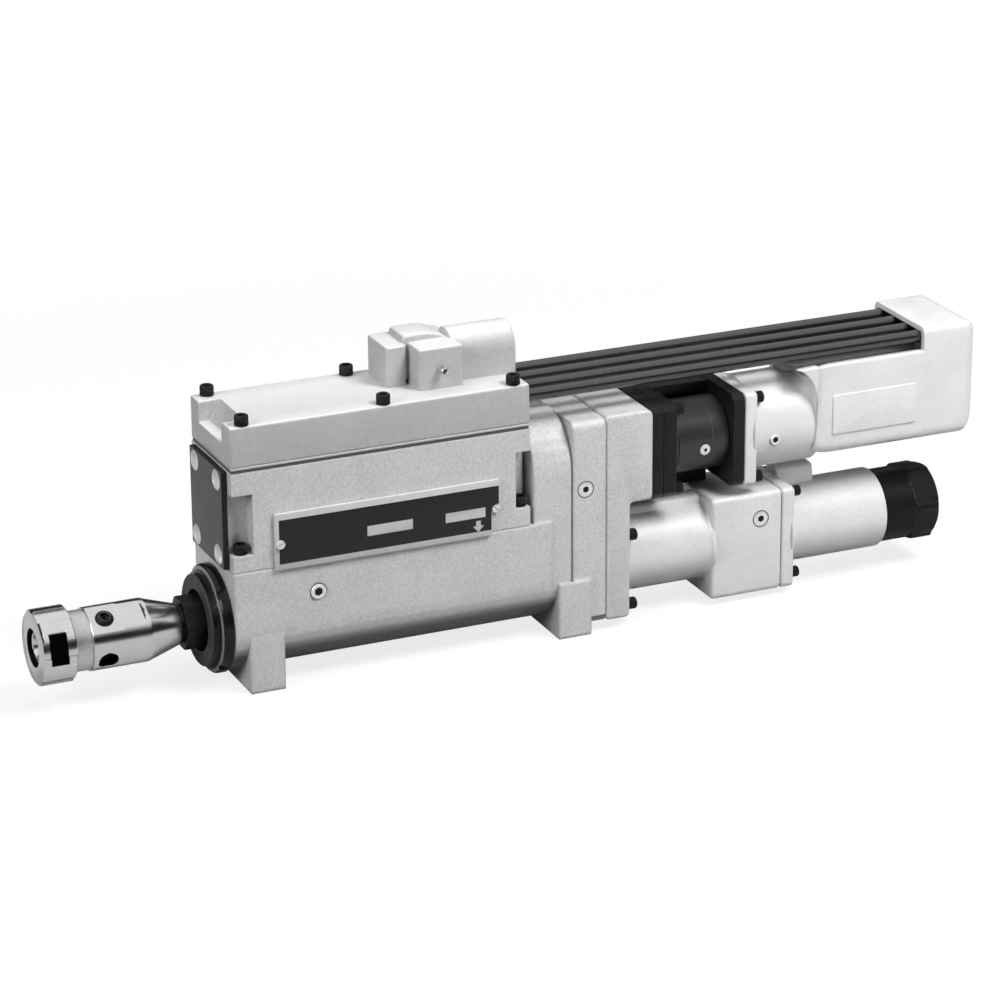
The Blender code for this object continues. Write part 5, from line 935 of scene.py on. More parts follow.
@dataclass
class Chuck:
    """Collet chuck: grooved nut with spanner flats, body with milled flats, set screw and collet."""

    nut_radius: float = 23.9 * MM
    groove_half: float = math.radians(12.8)
    groove_depth: float = 1.2 * MM
    groove_turn: float = math.radians(16.5)
    flat_start: float = 4.4 * MM
    flat_length: float = 11.3 * MM
    flat_height: float = 21.5 * MM
    mouth: float = 12.3 * MM
    body_radius: float = 20.0 * MM
    tilt: float = math.radians(29)
    screw_radius: float = 6.0 * MM
    screw_place: float = -95.9 * MM
    body_front: float = -106.5 * MM
    body_bore: float = 8.8 * MM
    cone_start: float = -69.0 * MM
    cone_drop: float = 6.6 * MM
    slit_half: float = 0.05

    def nut(self) -> None:
        """Nut: a turned ring whose radius drops in six grooves and on two flats.

        The radius is the least of the profile, the groove floor where the angle is within a groove,
        and flat height / cos(angle from the flat's middle) between the flat's two ends.
        """
        low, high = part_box("chuck_nut")
        front, back = low.x, high.x
        flat = front + self.flat_start
        end = flat + self.flat_length
        steps = np.array([1.2 * MM, self.flat_start, self.flat_start + 0.02 * MM, self.flat_start + self.flat_length,
                          self.flat_start + self.flat_length + 0.02 * MM]) + front
        outer = [(front + 0.25 * MM, self.nut_radius - 1.1 * MM)]
        outer += [(x, self.nut_radius) for x in np.sort(np.concatenate([steps, np.linspace(front + 2 * MM,
                                                                                               back - 1 * MM, 9)]))]
        inner = [(back - 0.3 * MM, self.nut_radius - 0.8 * MM), (back, self.nut_radius - 1.4 * MM),
                 (back, 17.35 * MM), (front + 7.9 * MM, 17.35 * MM), (front + 7.9 * MM, 12.35 * MM),
                 (front + 7 * MM, 12.35 * MM), (front + 4 * MM, 11.2 * MM), (front + 1.0 * MM, self.mouth - 0.6 * MM),
                 (front, self.mouth), (front, self.nut_radius - 1.6 * MM)]
        middles = [self.groove_turn + math.pi * side / 3 for side in range(6)]

        def shape(place: Array, radius: Array, angle: Array) -> Array:
            """Radius with the grooves and the two flats taken off."""
            outside = radius > 18 * MM
            in_groove = np.min([np.abs(off(angle, middle)) for middle in middles], axis=0) < self.groove_half
            radius = np.where(in_groove & outside, np.minimum(radius, self.nut_radius - self.groove_depth), radius)
            away = np.minimum(np.abs(off(angle, middles[1])), np.abs(off(angle, middles[4])))
            floor = self.flat_height / np.maximum(np.cos(away), 0.2)
            on_flat = outside & (place > flat + 0.01 * MM) & (place < end + 0.01 * MM)
            return np.where(on_flat, np.minimum(radius, floor), radius)

        edges = [middle + side * self.groove_half for middle in middles for side in (-1, 1)]
        nut = turned("collet_nut", outer + inner, (0.0, SPINDLE_Z), steps=beside(*edges), shape=shape, loop=True)
        turn = middles[1]
        # The nut's bore and the region of its spanner flats are painted near black: painted shade in the recesses.
        nut_steel = ChuckSteel(edge=0.3 * MM, bore=(0.0, self.mouth + 0.02 * MM), cut_turn=turn,
                               cut_x=(flat - 0.1 * MM, end + 0.1 * MM), cut_half=9.9 * MM, cut_height=23.75 * MM)
        fit(nut, nut_steel.paint, "chuck_nut", "chuck_nut")

    def body(self) -> None:
        """Body: turned, with flats of different depth, a cross hole and a cone to the spindle.

        A flat takes the radius down to (height above the axis) / cos(angle from the tilt); its ends
        run out along a short slope. The cross hole is a dish where the distance over the surface
        from its middle is less than its radius.
        """
        low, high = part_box("chuck_body")
        front = self.body_front
        cone_start, cone_end = self.cone_start, high.x
        collar = low.x
        rows = [(collar, 12.35 * MM), (collar, 16.6 * MM), (collar + 0.4 * MM, 17.0 * MM), mm(-117.3, 17.0),
                mm(-117.3, 18.6), mm(-116.9, 19.0), (front - 0.7 * MM, 19.0 * MM),
                (front - 0.5 * MM, 18.6 * MM), (front, 18.6 * MM), (front, 19.7 * MM), (front + 0.4 * MM, 20.0 * MM)]
        rows += [(x, self.body_radius) for x in np.linspace(front + 0.8 * MM, cone_start, 80)]
        share = np.linspace(0.05, 1.0, 14)
        rows += [(cone_start + (cone_end - cone_start) * s, self.body_radius - self.cone_drop * s) for s in share]
        rows += [(cone_end, 12.6 * MM), (cone_end, self.body_bore), (front + 24 * MM, self.body_bore),
                 (front + 24 * MM, 12.35 * MM)]
        hole_x, hole_turn = front + 9.4 * MM, self.tilt + math.pi / 2

        def shape(place: Array, radius: Array, angle: Array) -> Array:
            """Radius with the flats and the cross hole taken off."""
            outside = radius > 15.5 * MM
            away = np.abs(off(angle, self.tilt))
            depth = (2.9 * MM * (1 - np.clip((place - (front + 19.6 * MM)) / (3.4 * MM), 0, 1))
                     * np.clip((place - front - 0.5 * MM) / (0.3 * MM), 0, 1))
            second = 2.0 * MM * np.clip((place - front - 18 * MM) / (1 * MM), 0, 1) \
                * (1 - np.clip((place - front - 34.6 * MM) / (1.4 * MM), 0, 1))
            height = self.body_radius - np.maximum(depth, second)
            flat = np.where(away < 1.2, height / np.maximum(np.cos(away), 0.3), 1.0)
            radius = np.where(outside & (place > front), np.minimum(radius, flat), radius)
            along = (place - hole_x) ** 2 + (np.sin(off(angle, hole_turn)) * self.body_radius) ** 2
            inside = outside & (np.abs(off(angle, hole_turn)) < 1.0) & (along < (self.screw_radius + 0.2 * MM) ** 2)
            across = (place - self.screw_place) ** 2 + (np.sin(off(angle, self.tilt)) * self.body_radius) ** 2
            seated = outside & (away < 1.0) & (across < (self.screw_radius - 0.5 * MM) ** 2)
            return np.where(inside, 15.4 * MM, np.where(seated, 13.6 * MM, radius))

        angles = np.linspace(0, 2 * math.pi, 260, endpoint=False)
        body = turned("chuck_sleeve", rows, (0.0, SPINDLE_Z), steps=angles, shape=shape, loop=True)
        reach = self.screw_radius + 0.2 * MM
        # The cross hole and the inside of the body are painted near black: painted shade.
        body_steel = ChuckSteel(edge=0.35 * MM, cut_turn=hole_turn, cut_x=(hole_x - reach, hole_x + reach),
                                cut_half=reach, cut_height=19.6 * MM)
        fit(body, body_steel.paint, "spindle", "chuck_body")

    def set_screw(self) -> None:
        """Dark domed screw with a hexagon socket, standing in the milled flat."""
        top = 19.4 * MM
        radius = self.screw_radius - 0.15 * MM
        socket = 3.0 * MM
        rows = [(13.4 * MM, 0.0), (13.4 * MM, radius), (top - 2.4 * MM, radius)]
        rows += [(top - 2.4 * MM + 2.2 * MM * math.sin(a), radius - 1.9 * MM * (1 - math.cos(a)))
                 for a in np.linspace(0.25, 1.5, 6)]
        rows += [(top, socket + 0.3 * MM), (top - 0.3 * MM, socket), (top - 3.4 * MM, socket), (top - 4.0 * MM, 0.0)]
        screw = turned("set_screw", rows, (0.0, 0.0), Axis.Z, 72,
                       lambda place, r, t: np.where(r < socket + 0.5 * MM, r * hexagon(t), r))
        move(screw, about_x(self.tilt), (self.screw_place, 0.0, SPINDLE_Z))
        # Its strong rub paints the rim of the dome grey: a painted highlight.
        fit(screw, BlackOxide(rub=0.75, roughness=0.30, edge=0.5 * MM).paint, "spindle", "chuck_set_screw")

    def collet(self) -> None:
        """Collet whose bevelled rim shows inside the nut's mouth."""
        low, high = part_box("tap_collet")
        front, back = low.x, high.x
        rows = [(back, 4.2 * MM), (back, 11.6 * MM), (back - 0.5 * MM, 12.0 * MM), (front + 6 * MM, 12.0 * MM),
                (front + 0.3 * MM, 9.75 * MM), (front, 9.4 * MM), (front + 0.5 * MM, 8.5 * MM),
                (front + 3.4 * MM, 7.6 * MM), (front + 4.2 * MM, 4.5 * MM), (front + 5 * MM, 4.2 * MM)]
        slits = [2 * math.pi * side / 3 for side in range(3)]
        edges = [slit + side * self.slit_half for slit in slits for side in (-1, 1)]

        def shape(place: Array, radius: Array, angle: Array) -> Array:
            """Radius drawn in at the three slits."""
            at_slit = np.min([np.abs(off(angle, slit)) for slit in slits], axis=0) < self.slit_half
            return np.where(at_slit & (radius > 9.2 * MM) & (place < back - 8 * MM), radius - 1.6 * MM, radius)

        collet = turned("collet", rows, (0.0, SPINDLE_Z), steps=beside(*edges), shape=shape, loop=True)
        # The collet's outer rim, seen in the nut's mouth, is painted near black: painted shade in the gap.
        fit(collet, ChuckSteel(edge=0.2 * MM, bore=mm(9.8, 13)).paint, "collet", "tap_collet")

    def build(self) -> None:
        """Builds the four pieces."""
        self.nut()
        self.body()
        self.set_screw()
        self.collet()


@dataclass
class SpindleNose:
    """Spindle with a ribbed stub, a hexagon and splines that lie in the drive gear."""

    hexagon_radius: float = 17.5 * MM
    stub_radius: float = 12.4 * MM
    ribs: int = 4

    def build(self) -> None:
        """Builds the shaft: a profile whose radius is a hexagon's over the nose.

        The hexagon's radius is across-flats / 2 / cos(angle from the nearest flat), and its corners are
        turned off by a limit on the radius.
        """
        low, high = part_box("spindle_shaft")
        stub_start, nose_front, nose_rear = -47.9 * MM, -44.9 * MM, -30.3 * MM
        rows = [(low.x, 0.0), (low.x, 8.1 * MM), (low.x + 0.4 * MM, 8.5 * MM), (stub_start, 8.5 * MM),
                (stub_start, self.stub_radius - 0.3 * MM)]
        rib = np.linspace(stub_start + 0.1 * MM, nose_front - 0.1 * MM, 8 * self.ribs + 1)
        wave = np.cos((rib - rib[0]) / (rib[-1] - rib[0]) * 2 * math.pi * self.ribs)
        rows += list(zip(rib, self.stub_radius - 0.35 * MM * (1 - wave)))
        rows += [(nose_front, 16.6 * MM), (nose_front + 0.5 * MM, 17.0 * MM), (nose_rear - 0.5 * MM, 17.0 * MM),
                 (nose_rear, 16.6 * MM), (nose_rear, 11.0 * MM)]
        rows += self.shoulders()
        rows += [(high.x, 10.6 * MM), (high.x, 0.0)]

        def shape(place: Array, radius: Array, angle: Array) -> Array:
            """Radius cut to the hexagon over the nose."""
            nose = (place >= nose_front - 0.01 * MM) & (place <= nose_rear + 0.01 * MM) & (radius > 15 * MM)
            flat = self.hexagon_radius * math.cos(math.pi / 6) / np.cos(off(angle * 6, 0.0) / 6)
            return np.where(nose, np.minimum(radius + 0.2 * MM, flat), radius)

        shaft = turned("spindle", rows, (0.0, SPINDLE_Z), steps=144, shape=shape)
        fit(shaft, BlackOxide(roughness=0.34, rub=0.35, edge=0.4 * MM).paint, "spindle", "spindle_shaft")

    def shoulders(self) -> list[tuple[float, float]]:
        """Rows of the two shoulders that hold the feed collar."""
        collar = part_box("feed_collar")
        first, last = collar[0].x, collar[1].x
        return [(first - 3.3 * MM, 11.0 * MM), (first - 3.3 * MM, 14.0 * MM), (first - 0.3 * MM, 14.0 * MM),
                (first - 0.3 * MM, 11.0 * MM), (last + 0.3 * MM, 11.0 * MM), (last + 0.3 * MM, 14.0 * MM),
                (last + 3.3 * MM, 14.0 * MM), (last + 3.3 * MM, 11.0 * MM)]


@dataclass
class FrontRing:
    """Black ring with a step, a bright turned line and a recess for the hexagon."""

    notches: int = 4
    notch_half: float = 0.085
    notch_floor: float = 32.4 * MM

    def build(self) -> None:
        """Builds the ring: its radius drops to a notch floor within each notch."""
        low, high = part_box("front_ring")
        front, back = low.x, high.x
        step = back - 7.2 * MM
        rows = [(back, 12.2 * MM), (back, 34.2 * MM), (back - 0.4 * MM, 34.6 * MM), (back - 5.4 * MM, 34.6 * MM),
                (back - 5.9 * MM, 34.3 * MM), (step + 0.1 * MM, 33.3 * MM), (step, 33.0 * MM), (step, 31.5 * MM),
                (step - 0.35 * MM, 31.2 * MM), (step - 0.7 * MM, 31.2 * MM), (step - 0.9 * MM, 29.9 * MM),
                (step - 1.3 * MM, 29.2 * MM), (front + 0.4 * MM, 29.2 * MM), (front, 28.8 * MM),
                (front, 19.9 * MM), (front + 0.2 * MM, 19.7 * MM), (front + 4.4 * MM, 19.7 * MM),
                (front + 4.5 * MM, 12.4 * MM), (front + 4.9 * MM, 12.2 * MM)]
        middles = [math.pi / 4 + math.pi / 2 * number for number in range(self.notches)]

        def shape(place: Array, radius: Array, angle: Array) -> Array:
            """Radius drawn in at the spanner notches of the outer rim."""
            away = np.min([np.abs(off(angle, middle)) for middle in middles], axis=0)
            rim = (radius > 30.5 * MM) & (place < back - 1.5 * MM)
            return np.where(rim & (away < self.notch_half), np.minimum(radius, self.notch_floor), radius)

        edges = [middle + side * self.notch_half for middle in middles for side in (-1, 1)]
        ring = turned("spindle_ring", rows, (0.0, SPINDLE_Z), steps=beside(*edges), shape=shape, loop=True)
        fit(ring, RingBlack().paint, "head", "front_ring")


def hexagon(angle: Array) -> Array:
    """Radius of a hexagon over that of the circle inside it: 1 / cos(angle from the nearest flat)."""
    return 1.0 / np.cos(off(angle * 6, 0.0) / 6)


def move(piece: bpy.types.Object, matrix: Array, place: Sequence[float]) -> None:
    """Turns a piece's mesh about the origin and then moves it."""
    rows = [(*matrix[i], place[i]) for i in range(3)] + [(0, 0, 0, 1)]
    piece.data.transform(Matrix(rows))


def fasten(name: str, top: float, place: tuple[float, float], node: str, body: str = "head") -> None:
    """Builds a knurled socket head cap screw that stands along Z.

    The head's radius is R (1 + k |sin(n t)|) between its two chamfers, so it has n grooves; the
    socket's is that of a hexagon.

    Args:
        name: name of the piece.
        top: height of the head's top.
        place: its x and y.
        node: the node that it stands for.
        body: the body that it rides on.
    """
    low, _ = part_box(node)
    radius, height, socket = 4.40 * MM, 6.35 * MM, 2.38 * MM
    rows = [(low.z, 0.0), (low.z, 2.6 * MM), (low.z + 0.6 * MM, 3.17 * MM), (top - height, 3.17 * MM),
            (top - height, radius), (top - height + 0.6 * MM, radius + 0.18 * MM), (top - height + 1.2 * MM, radius),
            (top - height + 1.6 * MM, radius), (top - 1.0 * MM, radius), (top - 0.7 * MM, radius - 0.05 * MM),
            (top - 0.25 * MM, radius - 0.4 * MM), (top, radius - 0.8 * MM), (top, socket + 0.45 * MM),
            (top - 0.35 * MM, socket), (top - 3.2 * MM, socket), (top - 3.8 * MM, 0.0)]

    def shape(where: Array, r: Array, t: Array) -> Array:
        """Radius with the knurl's grooves and the socket's hexagon."""
        knurled = (r > radius - 0.1 * MM) & (where > top - height + 1.3 * MM) & (where < top - 0.8 * MM)
        r = np.where(knurled, r - 0.28 * MM * np.abs(np.sin(18 * t)), r)
        return np.where((r < 3.0 * MM) & (where > top - 3.9 * MM), r * hexagon(t), r)

    screw = turned(name, rows, place, Axis.Z, 144, shape)
    fit(screw, BlackOxide(roughness=0.30, rub=0.5, edge=0.25 * MM).paint, body, node)


@dataclass
class FrontPlate:
    """Black plate on the block's front, with four domed light buttons that have short slots."""

    button_radius: float = 6.6 * MM
    rise: float = 1.8 * MM
    slot: tuple[float, float] = mm(0.6, 2.0)
    inset: tuple[float, float] = mm(9.0, 7.5)
    thickness: float = 3.8 * MM

    def button(self, number: int, face: float, place: tuple[float, float]) -> None:
        """Dome z = rise cos(pi r / 2R) in X, with a slot pressed into its middle.

        Args:
            number: number in the piece's name.
            face: place of the plate's face.
            place: y and z of the middle.
        """
        turn = np.linspace(0.0, 1.0, 16)
        rows = [(face + 0.8 * MM, 0.0), (face + 0.8 * MM, self.button_radius * 0.9)]
        rows += [(face - self.rise * math.cos(t * math.pi / 2) ** 0.8, self.button_radius * t) for t in turn[::-1]]

        def dent(grid: Array) -> Array:
            """Slot pressed in where the point is within half its width and length."""
            across, up = np.abs(grid[..., 1] - place[0]), np.abs(grid[..., 2] - place[1])
            inside = (across < self.slot[0]) & (up < self.slot[1]) & (grid[..., 0] < face)
            grid[..., 0] += np.where(inside, 0.9 * MM, 0.0)
            return grid

        piece = turned(f"plate_button_{number}", rows, place, steps=64, dent=dent)
        fit(piece, PlatedScrew().paint, "head")

    def build(self) -> None:
        """Builds the plate and its buttons."""
        low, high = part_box("front_plate")
        face = high.x - self.thickness
        outline = rounded_box((low.y, low.z), (high.y, high.z), 1.5 * MM)
        piece = prism("name_plate", outline, Axis.X, face, high.x, 0.5 * MM)
        # The plate's forward face carries a painted highlight in its grey.
        fit(piece, PlateBlack().paint, "head", "front_plate")
        number = 0
        for y in (low.y + self.inset[0], high.y - self.inset[0]):
            for z in (low.z + self.inset[1], high.z - self.inset[1]):
                number += 1
                self.button(number, face, (y, z))


@dataclass
class StrokeCover:
    """Printed plate over the stroke window, with a slotted pivot screw and a slotted latch screw."""

    step: tuple[float, float] = mm(5.6, 2.4)
    screw_radius: float = 2.9 * MM

    def slotted(self, name: str, node: str, turn: float) -> None:
        """Slotted cheese head: its top is pressed in along a line through the middle.

        Args:
            name: name of the piece.
            node: the node that it stands for.
            turn: angle of the slot from the X axis.
        """
        low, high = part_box(node)
        x, z = (low.x + high.x) / 2, (low.z + high.z) / 2
        top, radius = low.y, self.screw_radius
        ring = np.linspace(1.0, 0.0, 12)
        rows = [(high.y, 0.0), (high.y, 1.7 * MM), (high.y - 0.3 * MM, 1.9 * MM), (top + 1.5 * MM, 1.9 * MM),
                (top + 1.5 * MM, radius), (top + 0.5 * MM, radius), (top + 0.15 * MM, radius - 0.15 * MM)]
        rows += [(top, (radius - 0.45 * MM) * r) for r in ring]

        def dent(grid: Array) -> Array:
            """Slot pressed in along the line."""
            across = (grid[..., 0] - x) * math.sin(turn) - (grid[..., 2] - z) * math.cos(turn)
            grid[..., 1] += np.where((np.abs(across) < 0.42 * MM) & (grid[..., 1] < top + 0.3 * MM), 0.8 * MM, 0.0)
            return grid

        piece = turned(name, rows, (z, x), Axis.Y, 96, dent=dent)
        fit(piece, PlatedScrew().paint, "head", node)

    def build(self) -> None:
        """Builds the plate and the two screws."""
        low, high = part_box("stroke_cover")
        latch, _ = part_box("cover_latch_screw")
        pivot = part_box("cover_pivot_screw")
        middle = (pivot[0].z + pivot[1].z) / 2
        notch = middle + 3.35 * MM
        outline = [(low.z, low.x), (high.z, low.x), (high.z, high.x), (notch, high.x), (notch, latch.x - 0.4 * MM),
                   (middle - self.step[1], high.x - self.step[0]), (low.z, high.x - self.step[0])]
        piece = prism("stroke_plate", round_corners(outline, 0.8 * MM, 4), Axis.Y, low.y, high.y, 0.35 * MM)
        fit(piece, PrintedPlate(low=(low.x, low.z), high=(high.x, high.z)).paint, "stroke_cover", "stroke_cover")
        self.slotted("pivot_screw", "cover_pivot_screw", 0.5)
        self.slotted("latch_screw", "cover_latch_screw", -0.7)


@dataclass
class Plugs:
    """Socket plugs in the near side."""

    def build(self) -> None:
        """Builds both plugs: turned along Y, with a hexagon socket."""
        for name, node, radius, wall in (("block_plug", "side_plug", 5.0 * MM, -35.16 * MM),
                                         ("housing_plug", "motor_plug", 3.6 * MM, -31.1 * MM)):
            low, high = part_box(node)
            x, z = (low.x + high.x) / 2, (low.z + high.z) / 2
            socket = radius * 0.5
            rows = [(high.y, 0.0), (high.y, radius), (low.y + 0.5 * MM, radius), (low.y, radius - 0.5 * MM),
                    (low.y, socket + 0.4 * MM), (low.y + 0.4 * MM, socket), (low.y + 3.2 * MM, socket),
                    (low.y + 3.8 * MM, 0.0)]
            piece = turned(name, rows, (z, x), Axis.Y, 72,
                           lambda place, r, t, lim=socket * 1.3: np.where(r < lim, r * hexagon(t), r))
            fit(piece, LIGHT_PLATING.paint, "head", node)
            # A black disc of painted shade lies in each socket and a black ring of painted shadow round each head.
            plug_shadows(name, low.y + 0.6 * MM, (z, x), radius, socket, wall)


@dataclass
class AirTubes:
    """Four straight air tubes between the lid and the motor's rear cap."""

    count: int = 4

    def build(self) -> None:
        """Builds the tubes, each a ring section carried along X with a hollow end."""
        for number in range(1, self.count + 1):
            node = f"air_tube_{number}"
            low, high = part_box(node)
            radius = (high.z - low.z) / 2
            bore = radius * 0.62
            rows = [(low.x, bore), (low.x, radius - 0.3 * MM), (low.x + 0.3 * MM, radius),
                    (high.x - 0.3 * MM, radius),
                    (high.x, radius - 0.3 * MM), (high.x, bore)]
            piece = turned(f"tube_{number}", rows, ((low.y + high.y) / 2, (low.z + high.z) / 2), steps=56, loop=True)
            fit(piece, BlackNylon().paint, "head", node)


@dataclass
class ScrewHousing:
    """Casting round the lead screw: tube, oil rail, square block, flanged sleeve and its end cap."""

    corner: float = 4.0 * MM
    tube: float = 27.3 * MM
    bore: float = 14.5 * MM
    sleeve: float = 26.6 * MM
    sleeve_bore: float = 18.3 * MM
    block_half: float = 26.5 * MM
    block_low: float = 4.4 * MM
    block_top: float = 73.8 * MM
    block_length: float = 50.6 * MM
    rail_half: float = 8.0 * MM
    cast: CastAluminium = CastAluminium(grey=(0.70, 0.70, 0.69), grain=0.22, roughness=0.42, edge=1.0 * MM)

    def rail(self, name: str, middle: float, foot: float, top: float, start: float, end: float) -> None:
        """Rounded rib that stands on a tube.

        Args:
            name: name of the piece.
            middle: its y.
            foot: z of its base.
            top: z of its crown.
            start: where it begins in x.
            end: where it ends in x.
        """
        half = self.rail_half
        outline = round_corners([(middle - half - 2 * MM, foot), (middle + half + 2 * MM, foot),
                                 (middle + half - 0.6 * MM, top - 1 * MM), (middle + half * 0.5, top),
                                 (middle - half * 0.5, top),
                                 (middle - half + 0.6 * MM, top - 1 * MM)], 2.4 * MM)
        fit(prism(name, outline, Axis.X, start, end, 1.6 * MM), self.cast.paint, "head")

    def build(self) -> None:
        """Builds the pieces from the boxes of the two castings and of the cap."""
        low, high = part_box("lead_screw_housing")
        block = high.x - self.block_length
        rows = [(low.x, self.bore), (low.x, self.tube - 0.6 * MM), (low.x + 0.6 * MM, self.tube),
                (block - 2.6 * MM, self.tube), (block - 1.2 * MM, self.tube + 0.4 * MM),
                (block, self.tube + 1.6 * MM),
                (block + 2 * MM, self.tube + 1.6 * MM), (block + 2 * MM, self.bore)]
        tube = turned("screw_tube", rows, (0.0, SPINDLE_Z), steps=128, loop=True)
        fit(tube, self.cast.paint, "head", "lead_screw_housing")
        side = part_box("rear_sleeve")
        outline = rounded_box((-self.block_half, self.block_low), (self.block_half, self.block_top), self.corner, 7)
        fit(prism("screw_block", outline, Axis.X, block, high.x, 2.2 * MM), self.cast.paint, "head")
        self.rail("oil_rail", 0.0, SPINDLE_Z + 20 * MM, 71.5 * MM, low.x + 0.5 * MM, block + 2 * MM)
        start, end = side[0].x, side[1].x
        flange = start + 9.0 * MM
        outline = rounded_box((side[0].y, side[0].z), (side[1].y, self.block_top), self.corner, 7)
        fit(prism("sleeve_flange", outline, Axis.X, start, flange, 1.4 * MM), self.cast.paint, "head",
            "rear_sleeve")
        rows = [(flange - 2 * MM, self.sleeve_bore), (flange - 2 * MM, self.sleeve + 1.8 * MM),
                (flange, self.sleeve + 1.8 * MM),
                (flange + 0.8 * MM, self.sleeve + 0.6 * MM), (flange + 2 * MM, self.sleeve),
                (end - 1.2 * MM, self.sleeve),
                (end - 0.3 * MM, self.sleeve - 0.4 * MM), (end, self.sleeve - 1.2 * MM), (end, self.sleeve_bore)]
        barrel = turned("sleeve_barrel", rows, (0.0, SPINDLE_Z), steps=128, loop=True)
        fit(barrel, self.cast.paint, "head")
        self.rail("sleeve_boss", 6.0 * MM, SPINDLE_Z + 20 * MM, 79.0 * MM, flange - 1 * MM, flange + 26 * MM)
        for number, (y, z) in enumerate([(y, z) for y in mm(-20.0, 20.0) for z in mm(12.1, 68.9)], 1):
            self.bolt(number, flange, (y, z))
        self.cap()

    def bolt(self, number: int, flange: float, place: tuple[float, float]) -> None:
        """Socket head screw of the flange.

        Args:
            number: number in the piece's name.
            flange: face that the head stands on.
            place: y and z of its axis.
        """
        top, radius, socket = flange + 6.2 * MM, 3.6 * MM, 1.6 * MM
        rows = [(flange - 1 * MM, 0.0), (flange - 1 * MM, radius), (top - 0.5 * MM, radius), (top, radius - 0.5 * MM),
                (top, socket + 0.3 * MM), (top - 0.2 * MM, socket), (top - 2.4 * MM, socket), (top - 2.8 * MM, 0.0)]
        screw = turned(f"flange_screw_{number}", rows, place, steps=60,
                       shape=lambda where, r, t: np.where(r < 2.1 * MM, r * hexagon(t), r))
        fit(screw, BlackOxide(rub=0.4).paint, "head")

    def cap(self) -> None:
        """Black end cap: a disc, then a hexagon whose corners are turned off at 30 degrees."""
        low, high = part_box("lead_nut_cap")
        hexagon_start = high.x - 17.8 * MM
        flats = 27.2 * MM * math.cos(math.pi / 6)
        rows = [(low.x, 0.0), (low.x, 23.9 * MM), (low.x + 0.6 * MM, 24.5 * MM),
                (hexagon_start - 0.2 * MM, 24.5 * MM),
                (hexagon_start, 24.6 * MM), (hexagon_start + 0.3 * MM, 26.2 * MM),
                (hexagon_start + 1.2 * MM, 27.2 * MM),
                (high.x - 2.2 * MM, 27.2 * MM), (high.x - 0.5 * MM, 24.4 * MM), (high.x, 23.6 * MM),
                (high.x, 8.0 * MM), (high.x - 1.2 * MM, 7.4 * MM), (high.x - 1.6 * MM, 0.0)]
        tilt = math.radians(9)

        def shape(place: Array, radius: Array, angle: Array) -> Array:
            """Radius cut to the hexagon behind the disc."""
            limit = flats * hexagon(angle + tilt)
            return np.where((place > hexagon_start + 0.1 * MM) & (radius > 15 * MM), np.minimum(radius, limit),
                            radius)

        piece = turned("end_cap", rows, (0.0, SPINDLE_Z), steps=180, shape=shape)
        fit(piece, BlackOxide(roughness=0.40, rub=0.45, edge=0.5 * MM).paint, "head", "lead_nut_cap")


def plug_shadows(name: str, floor: float, middle: tuple[float, float], radius: float, socket: float,
                 seat: float | None) -> None:
    """Black pieces of painted shade: the dark floor of a plug's socket and, where wanted, the dark line of painted
    shadow in which its head is seated.

    Args:
        name: name of the plug.
        floor: y of the socket's dark floor.
        middle: z and x of its axis.
        radius: radius of its head.
        socket: half the hexagon's width.
        seat: y of the line round the head, if it has one.
    """
    disc = [(floor, 0.0), (floor, socket * 1.05), (floor + 1.7 * MM, socket * 1.05), (floor + 1.7 * MM, 0.0)]
    fit(turned(f"{name}_socket", disc, middle, Axis.Y, 36, shape=lambda where, r, t: r * hexagon(t)),
        BlackOxide().paint, "head")
    if seat is not None:
        line = [(seat, radius - 0.1 * MM), (seat, radius + 0.45 * MM), (seat + 0.8 * MM, radius + 0.45 * MM),
                (seat + 0.8 * MM, radius - 0.1 * MM)]
        fit(turned(f"{name}_seat", line, middle, Axis.Y, 72, loop=True), BlackOxide().paint, "head")


def light_plug(name: str, place: tuple[float, float, float], radius: float, socket: float, dome: float = 0.6,
               seat: bool = False) -> None:
    """Light round screw head in the near side, turned along Y, with a dark hexagon socket.

    Args:
        name: name of the piece.
        place: middle of its face.
        radius: radius of the head.
        socket: half the hexagon's width.
        dome: share of the radius at which the face starts to fall away.
        seat: True adds the dark line of painted shadow round the head.
    """
    x, face, z = place
    depth = 2.2 * MM
    rows = [(face + 3 * MM, 0.0), (face + 3 * MM, radius), (face + 0.7 * MM, radius),
            (face + 0.2 * MM, radius * (dome + 1) / 2), (face, radius * dome), (face, socket + 0.15 * MM),
            (face + 0.2 * MM, socket), (face + depth, socket), (face + depth + 0.4 * MM, 0.0)]
    piece = turned(name, rows, (z, x), Axis.Y, 72,
                   shape=lambda where, r, t: np.where(r < socket * 1.2, r * hexagon(t), r))
    fit(piece, LIGHT_PLATING.paint, "head")
    plug_shadows(name, face + 0.18 * MM, (z, x), radius, socket, face + 0.24 * MM if seat else None)


def cross_bolt(name: str, seat: float, place: tuple[float, float], radius: float = 3.9 * MM,
               height: float = 6.4 * MM) -> None:
    """Black knurled cap screw whose head points to the rear.

    Args:
        name: name of the piece.
        seat: x of the face that it stands on.
        place: y and z of its axis.
        radius: radius of the head.
        height: height of the head.
    """
    top, socket = seat + height, radius * 0.45
    rows = [(seat - 1 * MM, 0.0), (seat - 1 * MM, radius), (seat + 0.8 * MM, radius), (top - 0.9 * MM, radius),
            (top - 0.3 * MM, radius - 0.35 * MM), (top, radius - 0.8 * MM), (top, socket + 0.3 * MM),
            (top - 0.2 * MM, socket), (top - 2.6 * MM, socket), (top - 3.0 * MM, 0.0)]

    def shape(where: Array, r: Array, t: Array) -> Array:
        """Radius with the knurl's grooves and the socket's hexagon."""
        knurled = (r > radius * 0.97) & (where > seat + 0.9 * MM) & (where < top - 0.8 * MM)
        r = np.where(knurled, r - 0.25 * MM * np.abs(np.sin(14 * t)), r)
        return np.where(r < socket * 1.2, r * hexagon(t), r)

    fit(turned(name, rows, place, steps=112, shape=shape), BlackOxide(rub=0.5, edge=0.25 * MM).paint, "head")


